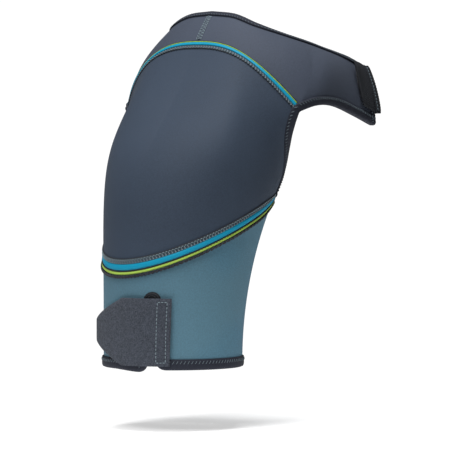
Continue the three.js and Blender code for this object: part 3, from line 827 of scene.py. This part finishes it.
def cuff_z(angle, z):
    """Lets the cuff's corner behind the slit hang lower than the rest."""
    behind = (SLIT_ANGLE - np.asarray(angle, float)) % 360
    sag = mm("slit_sag") * (1 - ease(behind, 4, 40))
    return z - sag * (1 - ease(z + SLEEVE_DROP, 0, 30))


def flat_of(grid):
    """Flat coordinates of a grid: its mean lengths along and across."""
    down = np.concatenate([[0], np.cumsum(np.linalg.norm(np.diff(grid, axis=0), axis=2).mean(axis=1))])
    along = np.linalg.norm(np.diff(grid, axis=1), axis=2)
    across = np.concatenate([np.zeros((len(grid), 1)), np.cumsum(along, axis=1)], axis=1)
    across -= across.mean(axis=1, keepdims=True)
    return np.stack([across, np.broadcast_to(down[:, None], across.shape)], -1)


def area_of(grid):
    """Area of a grid's surface in square metres."""
    a, b = grid[1:, 1:] - grid[:-1, :-1], grid[1:, :-1] - grid[:-1, 1:]
    return float(np.linalg.norm(np.cross(a, b), axis=-1).sum() / 2) * MM * MM


def build_sleeve():
    """Rows 0 to 1 run from the lower seam to the slit's top, and 1 to 2 on to the cuff."""
    rows = np.concatenate([np.linspace(0, 1, 34), np.linspace(1, 1.86, 26)[1:], np.linspace(1.86, 2, 14)[1:]])
    slit_top = SLIT_HEIGHT - SLEEVE_DROP

    def surface(t, row_at):
        top = lower_seam_z(SLIT_ANGLE + 360 * t)
        z = np.where(row_at < 1, mix(top, slit_top, row_at), mix(slit_top, -SLEEVE_DROP, row_at - 1))
        half = slit_half_angle(z)
        angle = mix(SLIT_ANGLE + half, SLIT_ANGLE + 360 - half, t)
        return sleeve(angle, np.where(row_at < 1, z, cuff_z(angle, z)))

    t, row_at = np.meshgrid(np.linspace(0, 1, 181), rows)
    facing = outward(sleeve, SLIT_ANGLE + 360 * t, surface(t, row_at)[..., 2], 1, 1)
    made, area = panel("arm_sleeve", "sleeve", surface, t, row_at, facing)
    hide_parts("sleeve_panel")


def build_deltoid():
    angle, row_at = np.meshgrid(np.linspace(-ARMHOLE_ANGLE, ARMHOLE_ANGLE, 161),
                                np.concatenate([np.linspace(0, 1, 90), [1.5, 2.0]]))
    facing = outward(cap, angle, np.clip(row_at, 0.01, 1.98), 1, 0.01)
    made, area = panel("deltoid_cap", "deltoid", cap, angle, row_at, facing)
    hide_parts("deltoid_panel")


def build_yoke():
    halves = (("chest_yoke", "front_yoke_panel", 0, 1), ("back_yoke", "back_yoke_panel", -1, 0))
    for name, node, low, high in halves:
        along, down = np.meshgrid(np.linspace(low, high, 121), np.linspace(0, 1, 41))
        facing = outward(yoke, along, np.clip(down, 0.01, 0.99), 0.004, 0.01)
        made, area = panel(name, "yoke", yoke, along, down, facing)
        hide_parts(node)


def build_lower_seam():
    reach = ARMHOLE_ANGLE - 1
    stations = np.linspace(-reach, reach, 320)

    def place(angle, across, height):
        width = mix(1, 0.6, ease(np.abs(angle), reach * 0.8, reach))
        return on_sleeve(angle, lower_seam_z(angle) + (LOWER_TAPE_WIDTH / 2 - across) * width, height)

    lay_bands(place, stations, (
        ("lower_stitch_band", "band", ["lower_seam_cover_stitch"], 0.2, 4.2, 0.45),
        ("lower_turquoise_tape", "turquoise", ["lower_seam_turquoise_tape"], 4.3, 9.1, 1.0),
        ("lower_black_tape", "binding", ["lower_seam_black_tape"], 9.2, 10.3, 0.7),
        ("lower_lime_piping", "lime", ["lower_seam_lime_cord"], 10.4, 12.7, 1.3),
    ))
    sew("lower_cover_stitches", "thread", place, stations,
        [(0.9, 0.6, 1, 1.2, 0.5), (3.6, 0.6, 1, 1.2, 0.5)], [(1.2, 3.3, 0.55, 1, 0.9, 2)])
    sew("lower_dark_stitches", "dark_thread", place, stations,
        [(0.05, 0.3, 1, 1.4, 0.1), (4.7, 0.95, 1.2, 2.0, 1.0), (9.8, 0.8, 1, 1.6, 0.25)])
    build_overlock(place, reach)
    sew("lower_overlock_loops", "dark_thread", place, stations, ladders=[(13.0, 15.4, 1.55, 1.6, 1.7, 1)])


def build_overlock(place, reach):
    """The overlocked edge under the lower seam: a cord that swells between its loops."""
    count, loops, middle, height = 1100, 84, 14.3, 0.8
    run = np.linspace(-reach, reach, count)
    turn = np.linspace(0, 2 * math.pi, 9)[:-1]
    thick = 0.42 + 0.58 * np.abs(np.sin(np.linspace(0, math.pi * loops, count)))[:, None]
    centre, out = place(run, np.full(count, middle), np.full(count, height))
    aside, _ = place(run, np.full(count, middle + 1), np.full(count, height))
    aside = unit(aside - centre)
    wide, tall = 1.45 * thick * np.cos(turn), 1.05 * thick * np.sin(turn)
    cord = Shape()
    cord.bar(centre[:, None] + aside[:, None] * wide[..., None] + out[:, None] * tall[..., None])
    add_piece("lower_overlock", cord, "binding", "lower_seam_overlock_cord")


def build_upper_seam():
    reach = ARMHOLE_ANGLE * 0.955
    stations = np.linspace(-reach, reach, 300)

    def place(angle, across, height):
        """across is positive on the deltoid side and negative on the yoke side."""
        angle, across, height = np.broadcast_arrays(angle, across, height)
        seam = angle / ARMHOLE_ANGLE
        length = np.linalg.norm(upper_seam(seam) - deltoid(seam, 1.0), axis=-1)
        deep, deep_out = on_deltoid(seam, np.maximum(across, 0.05) / (DELTOID_FULLNESS * length), height)
        along = seam * ARMHOLE_STATION
        high, high_out = on_yoke(along, 1 - np.maximum(-across, 0.05) / yoke_length(along), height)
        share = ease(across, -0.4, 0.4)[..., None]
        return mix(high, deep, share), unit(mix(high_out, deep_out, share))

    lay_bands(place, stations, (
        ("upper_stitch_band", "band", ["upper_seam_cover_stitch"], 0.3, 3.1, 0.5),
        ("upper_turquoise_tape", "turquoise", ["upper_seam_turquoise_tape"], -2.4, 0.2, 0.95),
        ("upper_lime_piping", "lime", ["upper_seam_lime_cord"], -3.2, -2.5, 0.8),
        ("upper_dark_edge", "binding", [], -3.9, -3.3, 0.5),
    ))
    sew("upper_cover_stitches", "thread", place, stations,
        [(2.6, 0.6, 1, 1, 0.5)], [(0.8, 2.4, 0.6, 1, 0.8, 2)])
    sew("upper_dark_stitches", "dark_thread", place, stations, [(3.3, 0.3, 1, 1.4, 0.1)])


def build_flatlocks():
    per_along = float(np.linalg.norm(yoke(0.0, 0.5) - yoke(0.02, 0.5))) / 0.02

    def shoulder(down, across, height):
        return on_yoke(np.asarray(across, float) / per_along, down, height)

    def closing(z, across, height):
        return on_sleeve(180 + np.degrees(np.asarray(across, float) / sleeve_radius(z)), z, height)

    downs = np.linspace(4.2 / yoke_length(0.0), 1 - 5 / yoke_length(0.0), 60)
    drops = np.linspace(float(lower_seam_z(180.0)) - 7, 8.4 - SLEEVE_DROP, 160)
    for name, place, stations, finish, node in (
            ("shoulder_flatlock", shoulder, downs, "yoke", "shoulder_seam_flatlock"),
            ("sleeve_flatlock", closing, drops, "sleeve", "sleeve_closing_seam")):
        lay_bands(place, stations, [(name, finish, [node], -1.6, 1.6, 0.35)])
        sew(name + "_stitches", "thread", place, stations,
            [(side * 2.1, 0.15, 0.9, 1.1, 0.25) for side in (-1, 1)], [(-1.9, 1.9, 0.3, 1, 0.7, 1)])


def build_edge_bindings():
    """One tape from the chest wing's end through the arch and round the armhole to the back wing."""
    width = mm("edge_binding")

    def wing_end(side):
        down = np.linspace(0.06, 1, 60)
        _, out = on_yoke(np.full(60, side * 0.9999), np.minimum(down, 0.985))
        return yoke(np.full(60, float(side)), down), yoke(np.full(60, side * 0.93), down), out

    def arch(side):
        along = side * np.linspace(1, ARMHOLE_STATION, 160)
        _, out = on_yoke(along * 0.998, np.full(160, 0.985))
        return yoke(along, 1.0), yoke(along, 1 - width / yoke_length(along)), out

    def armhole(side):
        down = np.linspace(0, 1, 90)
        _, out = on_deltoid(np.full(90, side * 0.985), down)
        return deltoid(side * 1.0, down), deltoid(side * 0.95, down), out

    def underarm():
        angle = np.linspace(ARMHOLE_ANGLE, 360 - ARMHOLE_ANGLE, 120)
        z = lower_seam_z(angle)
        edge, out = on_sleeve(angle, z)
        return edge, sleeve(angle, z - width), out

    back = [[each[::-1] for each in part(-1)] for part in (armhole, arch, wing_end)]
    lines = zip(wing_end(1), arch(1), armhole(1), underarm(), *back)
    edge = Edge(*(np.concatenate(each) for each in lines))
    shape = Shape()
    bind(shape, edge, width, mm("stitch_pitch"))
    nodes = [f"{side}_{part}_binding" for side in ("front", "back")
             for part in ("underarm_arch", "wing_end", "armhole")]
    add_piece("edge_binding", shape, "binding", *nodes, "underarm_binding")
    light = Shape()
    for height in (1.35, -PANEL_THICKNESS - 1.35):
        zigzag(light, edge, width * 0.6, width * 0.9, height, mm("stitch_pitch"), mm("thread_radius"))
    add_piece("edge_binding_stitches", light, "edge_thread")


def build_neck_binding():
    width = mm("neck_binding")
    along = np.linspace(-1, 1, 420)
    _, out = on_yoke(along * 0.999, np.full(420, 0.03))
    edge = Edge(yoke(along, 0.0), yoke(along, width / yoke_length(along)), out, round_off=1.0, turn_over=4.0)
    shape, light = Shape(), Shape()
    bind(shape, edge, width, NECK_PITCH, pucker=0.08)
    add_piece("neck_tape", shape, "binding", "neck_binding")
    zigzag(light, edge, width * 0.6, width * 0.9, 1.3, NECK_PITCH, mm("thread_radius") * 0.9)
    add_piece("neck_tape_stitches", light, "edge_thread")


def build_cuff():
    """The hem's tape, which turns up both sides of the slit."""
    hem, side, corner = mm("hem_binding"), mm("slit_binding"), mm("slit_corner")
    low = -SLEEVE_DROP
    rise = np.concatenate([np.linspace(SLIT_HEIGHT - 3.0, corner, 70),
                           corner * (1 - np.sin(np.linspace(0, math.pi / 2, 24)[1:]))])
    z_side = low + rise
    half = slit_half_angle(z_side)
    around = np.linspace(SLIT_ANGLE + half[-1], SLIT_ANGLE + 360 - half[-1], 400)[1:-1]
    angle = np.concatenate([SLIT_ANGLE + half, around, (SLIT_ANGLE + 360 - half)[::-1]])
    z = cuff_z(angle, np.concatenate([z_side, np.full(len(around), float(low)), z_side[::-1]]))
    flat = np.stack([np.radians(angle) * CUFF_RADIUS, z], -1)
    tangent = unit(np.gradient(flat, axis=0))
    inner = flat + np.stack([-tangent[:, 1], tangent[:, 0]], -1) * 3
    line, out = on_sleeve(angle, z)
    inside = sleeve(np.degrees(inner[:, 0] / CUFF_RADIUS), inner[:, 1])
    edge = Edge(line, inside, out, round_off=1.2, turn_over=1.6)
    turn_at = float(run_of(line[:len(z_side) + 1])[-1])

    def width(run):
        up = np.minimum(run, edge.length - run)
        return mix(side, hem, ease(up, turn_at - 12, turn_at + 3))

    shape = Shape()
    bind(shape, edge, width, CUFF_PITCH)
    add_piece("cuff_tape", shape, "binding", "cuff_hem_binding", "slit_front_binding", "slit_back_binding")
    light = Shape()
    radius = mm("thread_radius")
    end = edge.length
    for low, high, height, pitch, thick, start, stop in (
            (hem * 0.5, hem * 0.82, 1.4, 3.0, 0.9, turn_at + 2, end - turn_at - 2),
            (hem * 0.42, hem * 0.8, -PANEL_THICKNESS - 1.4, 3.4, 1, turn_at + 2, end - turn_at - 2),
            (side * 0.45, side * 0.85, 1.4, 2.8, 1, 3, turn_at - 2),
            (side * 0.45, side * 0.85, 1.4, 2.8, 1, end - turn_at + 2, end - 3)):
        zigzag(light, edge, low, high, height, pitch, radius * thick, start, stop)
    add_piece("cuff_tape_stitches", light, "edge_thread")
    build_patch()


def build_patch():
    """The half-round patch at the top of the slit."""
    def place(turn, reach, height):
        turn, reach, height = np.broadcast_arrays(turn, reach, height)
        aside = np.degrees(reach * np.cos(turn) / CUFF_RADIUS)
        return on_sleeve(SLIT_ANGLE + aside, SLIT_HEIGHT - SLEEVE_DROP + reach * np.sin(turn), height)

    turn = np.linspace(0, math.pi, 48)
    lay_bands(place, turn, [("slit_patch", "elastic", ["slit_reinforcement"], 0.2, PATCH_RADIUS, 1.1)])
    dark = Shape()
    for reach, height in ((PATCH_RADIUS - 1.3, 1.0), (PATCH_RADIUS - 3.2, 1.15)):
        row(dark, place, turn, reach, height, PATCH_PITCH, mm("thread_radius"))
    add_piece("slit_patch_stitches", dark, "dark_thread", slot="black_elastic")


def tab_half_height(length):
    taper = np.clip((length - TAB_REACH + TAB_TAPER_LENGTH) / TAB_TAPER_LENGTH, 0, 1)
    return mix(TAB_HEIGHT / 2, TAB_END_HEIGHT / 2, taper)


def tab_place(length, up, height):
    """A point of the closure tab: a length round the arm from its hinge line, up from its middle."""
    length, up, height = np.broadcast_arrays(length, up, height)
    angle = HINGE_ANGLE - np.degrees(length / (CUFF_RADIUS + OVER_BINDINGS))
    middle = TAB_BOTTOM_LIFT + TAB_HEIGHT / 2 - SLEEVE_DROP
    raised = TAB_END_LIFT * ease(length, TAB_REACH - TAB_TAPER_LENGTH, TAB_REACH)
    return on_sleeve(angle, middle + up, OVER_BINDINGS + raised + height)


def build_closure_tab():
    thickness = mm("tab_thickness")
    start = -TAB_SEWN_WIDTH
    corner = 1.6
    length = np.concatenate([np.linspace(start, TAB_REACH - corner, 96),
                             TAB_REACH - corner + corner * np.sin(np.linspace(0, math.pi / 2, 9)[1:])])
    past = np.clip(length - TAB_REACH + corner, 0, corner)
    half = tab_half_height(length) - corner + np.sqrt(corner ** 2 - past ** 2)
    share = np.sin(np.linspace(-math.pi / 2, math.pi / 2, 33))
    near_end = np.minimum(np.clip((length - start) / 1.2, 0, 1), np.clip((TAB_REACH - length) / 1.2, 0, 1))
    body = np.sqrt(np.clip(1 - (1 - near_end) ** 2, 0, 1))
    rise = (thickness / 2) * (0.15 + 0.85 * (1 - np.abs(share) ** 14)[None, :] * body[:, None])
    top, _ = tab_place(length[:, None], half[:, None] * share[None, :], thickness / 2 + rise)
    base, _ = tab_place(length[:, None], half[:, None] * share[None, ::-1], (thickness / 2 - rise)[:, ::-1])
    shape = Shape()
    shape.bar(np.concatenate([top, base], axis=1))
    tab = add_piece("arm_tab", shape, "charcoal", "closure_tab", "closure_tab_sewn_end", body=None)
    before, after = (tuple(tab_place(at, 0.0, thickness)[0] * MM) for at in (-1.5, 4.0))
    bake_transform(tab)

    pad_length = np.linspace(15, TAB_REACH - 5, 60)
    reach = tab_half_height(pad_length) - 8.5
    across = np.linspace(-1, 1, 21)
    low, _ = tab_place(pad_length[:, None], reach[:, None] * across[None, :], np.full((1, 21), -1.3))
    high, _ = tab_place(pad_length[:, None], reach[:, None] * across[None, ::-1], np.full((1, 21), 0.3))
    pad = Shape()
    pad.bar(np.concatenate([low, high], axis=1))
    hooks = add_piece("arm_tab_hooks", pad, "hooks", "closure_tab_hook_pad", body="closure_tab_body")
    hooks.data.shade_flat()

    light = Shape()
    height, radius = thickness + 0.05, mm("thread_radius")
    edge_up = TAB_HEIGHT / 2 - 3
    for at in TAB_SEAMS:
        row(light, crosswise(tab_place), np.linspace(-edge_up, edge_up, 40), at, height, 2.9, radius, 0.35)
    for up in (-edge_up, edge_up):
        row(light, tab_place, np.linspace(*TAB_SEAMS, 12), up, height, 2.5, radius, 0.35)
    stitches = add_piece("arm_tab_stitches", light, "thread")


def crosswise(place):
    """The same place function, with its stations across instead of along."""
    return lambda across, along, height: place(along, across, height)


def strap_share(across):
    return STRAP_TOP_SHARE + across * STRAP_WIDTH / yoke_length(1.0)


def strap_surface(along, across):
    """The strap's inner face: along -1 to 1 between the wing ends, below -1 on the back wing."""
    along, across = np.broadcast_arrays(np.asarray(along, float), np.asarray(across, float))
    side = np.where(along < 0, -1.0, 1.0)
    share = strap_share(across)
    over = np.full(along.shape, OVER_BINDINGS)
    lap, _ = on_yoke(-1 + np.maximum(-1 - along, 0) * STRAP_BACK_LAP, share, over)
    start, _ = on_yoke(side, share, over)
    radius = STRAP_STAND_OFF - OVER_BINDINGS
    inward = 1 - np.abs(np.clip(along, -1, 1))
    turn = np.minimum(inward / STRAP_BEND_SHARE, 1) * math.pi / 2
    bent = start + points(radius * np.sin(turn), side * radius * (1 - np.cos(turn)), 0)
    progress = np.clip((inward - STRAP_BEND_SHARE) / (1 - STRAP_BEND_SHARE), 0, 1)
    eased = ease(progress, 0, 1)
    middle_z = -STRAP_MIDDLE_DROP + STRAP_WIDTH * (0.5 - across)
    loop = points(mix(bent[..., 0], WING_REACH + STRAP_STAND_OFF, eased), mix(bent[..., 1], 0, progress),
                  mix(bent[..., 2], middle_z, eased))
    return np.where((along < -1)[..., None], lap, loop)


def woven_band(place, stations, across, low, high, ribs=0.0, pitch=2.2):
    """A woven band between two heights, with soft edges and fine ribs along it."""
    soft = 1 - np.abs(np.linspace(-1, 1, len(across))) ** 12
    rise = (high - low) / 2 * (0.2 + 0.8 * soft) + ribs * np.cos(2 * math.pi * (across - across[0]) / pitch)
    middle = (low + high) / 2
    top, _ = place(stations[:, None], across[None, :], (middle + rise)[None, :])
    base, _ = place(stations[:, None], across[None, ::-1], (middle - rise)[None, ::-1])
    shape = Shape()
    shape.bar(np.concatenate([top, base], axis=1))
    return shape


def build_strap():
    thickness, radius = mm("strap_thickness"), mm("thread_radius")
    low, high = OVER_BINDINGS, OVER_BINDINGS + thickness
    wide = np.linspace(0, STRAP_WIDTH, 41)
    per_along = float(np.linalg.norm(yoke(0.9, 0.4) - yoke(1.0, 0.4))) / 0.1
    on_strap = on(strap_surface, 0.01, 0.02)

    def webbing(along, across, height):
        return on_strap(along, np.asarray(across, float) / STRAP_WIDTH, height)

    def wing(length_at, across, height, side=1):
        length_at, across, height = np.broadcast_arrays(length_at, across, height)
        return on_yoke(side * (1 - length_at / per_along), strap_share(across / STRAP_WIDTH), height)

    def back_wing(length_at, across, height):
        return wing(length_at, across, height, -1)

    def hook_wing(length_at, across, height):
        """The hook tab: its free end slants and its upper corner stands off the wing."""
        length_at, across, height = np.broadcast_arrays(length_at, across, height)
        down = across / STRAP_WIDTH
        reach = HOOK_TAB_START + (length_at - HOOK_TAB_START) * mix(1.55, 0.86, down)
        free = ease(reach, 6, HOOK_TAB_LENGTH + 5) * (1 - ease(down, 0.0, 0.75))
        return wing(reach, across + 5.5 * free, height + 3.0 * free)

    alongs = np.concatenate([np.linspace(-2, -1.02, 26), np.linspace(-1, 1, 240)])
    belt = woven_band(webbing, alongs, np.linspace(0, STRAP_WIDTH, 73), 0, thickness, ribs=0.1)
    strap = add_piece("strap_webbing", belt, "elastic", "strap_elastic")
    length = float(run_of(strap_surface(alongs, np.full(len(alongs), 0.5)))[-1]) * MM
    fold = woven_band(wing, np.array([-1.2, -0.9, -0.4, 0.3, 1.2, 1.7, 2.0]), wide, low, high + 0.9)
    add_piece("strap_fold", fold, "elastic", "strap_sewn_fold")
    tab = woven_band(hook_wing, np.linspace(HOOK_TAB_START, HOOK_TAB_LENGTH, 40), wide, low, high)
    hook_tab = add_piece("strap_tab", tab, "elastic", "strap_hook_tab", body="strap_hook_tab_body")
    pad = woven_band(hook_wing, np.linspace(9, 16.6, 20), wide[5:-5], 0.5, low + 0.2)
    hooks = add_piece("strap_tab_hooks", pad, "hooks", "strap_hook_pad", body="strap_hook_tab_body")
    patch = woven_band(back_wing, np.linspace(8.5, 16.5, 20), wide[6:-6], 0.2, low - 0.1)
    add_piece("strap_back_patch", patch, "binding", "strap_back_reinforcement", slot="hook_tape")

    light = Shape()
    ups = np.linspace(2, STRAP_WIDTH - 2, 40)
    row(light, crosswise(wing), ups, 0.5, high + 0.85, 2.6, radius * 1.3, 0.3)
    for at in (3.0, 9.0, 15.0):
        row(light, crosswise(back_wing), ups, at, high + 0.05, 2.6, radius * 1.2)
    stitches = add_piece("strap_stitches", light, "edge_thread")


# ---------- Stage ----------
RIGHT = Vector((0.616, -0.788, 0))
FORWARD = Vector((0.788, 0.616, 0))
UP = Vector((0, 0, 1))
CAMERA_DISTANCE = 3.4
CAMERA_HEIGHT = -0.060
CAMERA_LENS = 331.8
AIM_RIGHT = 0.0115
AIM_HEIGHT = -0.1745
LAMP_AIM = UP * -0.14
WORLD_ON_WRAP = 0.13
WORLD_SEEN = 1.05
LAMPS = (  # how far forward, right and up each stands, its size in metres and its power in watts
    ("key_light", -1.0, -0.55, 1.15, 0.6, 11),
    ("overhead_light", -0.3, -0.1, 1.5, 0.9, 32),
)


def stand(name, data, place, target):
    """A camera or a lamp at a place, turned to a target."""
    made = bpy.data.objects.new(name, data)
    bpy.context.scene.collection.objects.link(made)
    made.location = place
    made.rotation_euler = (target - made.location).to_track_quat("-Z", "Y").to_euler()
    return made


def build_stage():
    scene = bpy.context.scene
    scene.view_settings.view_transform = "Standard"
    camera = bpy.data.cameras.new("camera")
    camera.sensor_width = 36
    camera.lens = CAMERA_LENS
    camera.clip_end = 100
    scene.camera = stand("camera", camera, -FORWARD * CAMERA_DISTANCE + UP * CAMERA_HEIGHT,
                         RIGHT * AIM_RIGHT + UP * AIM_HEIGHT)

    turn, reach = np.meshgrid(np.linspace(0, 2 * math.pi, 97), np.linspace(1, FLOOR_RADIUS, 12))
    grid = points(reach * np.cos(turn), reach * np.sin(turn), -FLOOR_DROP)
    floor = Shape()
    floor.surface(grid, grid[..., :2], np.broadcast_to([0.0, 0.0, 1.0], grid.shape))
    floor.make("floor", ["floor"], "", body=None)

    world = bpy.data.worlds.new("studio")
    world.use_nodes = True
    sky = world.node_tree.nodes["Background"]
    sky.inputs["Color"].default_value = (1, 1, 1, 1)
    studio = Tree(world.node_tree)
    seen = studio.node("ShaderNodeLightPath", output="Is Camera Ray")
    strength = studio.node("ShaderNodeMapRange", {},
                           {"Value": seen, "To Min": WORLD_ON_WRAP, "To Max": WORLD_SEEN})
    studio.plug(sky.inputs["Strength"], strength)
    scene.world = world

    for name, forward, right, up, size, power in LAMPS:
        light = bpy.data.lights.new(name, "AREA")
        light.shape = "SQUARE"
        light.size = size
        light.energy = power
        stand(name, light, FORWARD * forward + RIGHT * right + UP * up, LAMP_AIM)


# ---------- Operators ----------
def piece_operator(name, label, doc, build):
    def execute(self, context):
        build()
        return {"FINISHED"}
    return type("WRAP_OT_" + name, (bpy.types.Operator,), {
        "bl_idname": "wrap." + name, "bl_label": label, "__doc__": doc,
        "bl_options": {"REGISTER", "UNDO"}, "execute": execute})


OPERATORS = [
    piece_operator("looks", "Fabrics", "Make the fabric, tape and thread finishes",
                   lambda: make_looks(bpy.context.scene.wrap_colours)),
    piece_operator("sleeve", "Arm sleeve", "Build the arm sleeve with its cuff slit", build_sleeve),
    piece_operator("deltoid", "Deltoid cap", "Build the deltoid cap", build_deltoid),
    piece_operator("yoke", "Yoke", "Build the chest and back halves of the yoke", build_yoke),
    piece_operator("lower_seam", "Lower seam", "Build the lower seam's tapes, piping and stitches",
                   build_lower_seam),
    piece_operator("upper_seam", "Upper seam", "Build the upper seam's tapes, piping and stitches",
                   build_upper_seam),
    piece_operator("flatlocks", "Flatlock seams", "Build the shoulder and sleeve flatlock seams",
                   build_flatlocks),
    piece_operator("edge_bindings", "Edge binding", "Bind the wings, arch and armhole", build_edge_bindings),
    piece_operator("neck_binding", "Neck binding", "Bind the neck edge", build_neck_binding),
    piece_operator("cuff", "Cuff", "Bind the cuff and its slit, and add the patch", build_cuff),
    piece_operator("closure_tab", "Closure tab", "Build the closure tab on the arm", build_closure_tab),
    piece_operator("strap", "Strap", "Build the strap, its fold and its hook tab", build_strap),
    piece_operator("stage", "Stage", "Set the floor, the light and the camera", build_stage),
]


class WRAP_PT_pieces(bpy.types.Panel):
    """The wrap's settings and pieces"""
    bl_idname = "WRAP_PT_pieces"
    bl_label = "Shoulder Wrap"
    bl_space_type = "VIEW_3D"
    bl_region_type = "UI"
    bl_category = "Wrap"

    def draw(self, context):
        for group in (context.scene.wrap_sizes, context.scene.wrap_colours):
            for key in group.__annotations__:
                self.layout.prop(group, key)
        for operator in OPERATORS:
            self.layout.operator(operator.bl_idname)


CLASSES = [WrapColours, WrapSizes, *OPERATORS, WRAP_PT_pieces]


def register():
    for each in CLASSES:
        bpy.utils.register_class(each)
    bpy.types.Scene.wrap_colours = bpy.props.PointerProperty(type=WrapColours)
    bpy.types.Scene.wrap_sizes = bpy.props.PointerProperty(type=WrapSizes)


def unregister():
    del bpy.types.Scene.wrap_sizes
    del bpy.types.Scene.wrap_colours
    for each in reversed(CLASSES):
        bpy.utils.unregister_class(each)


def main():
    register()
    for operator in OPERATORS:
        getattr(bpy.ops.wrap, operator.bl_idname.split(".")[1])()
    bpy.context.view_layer.update()


if __name__ == "__main__":
    main()
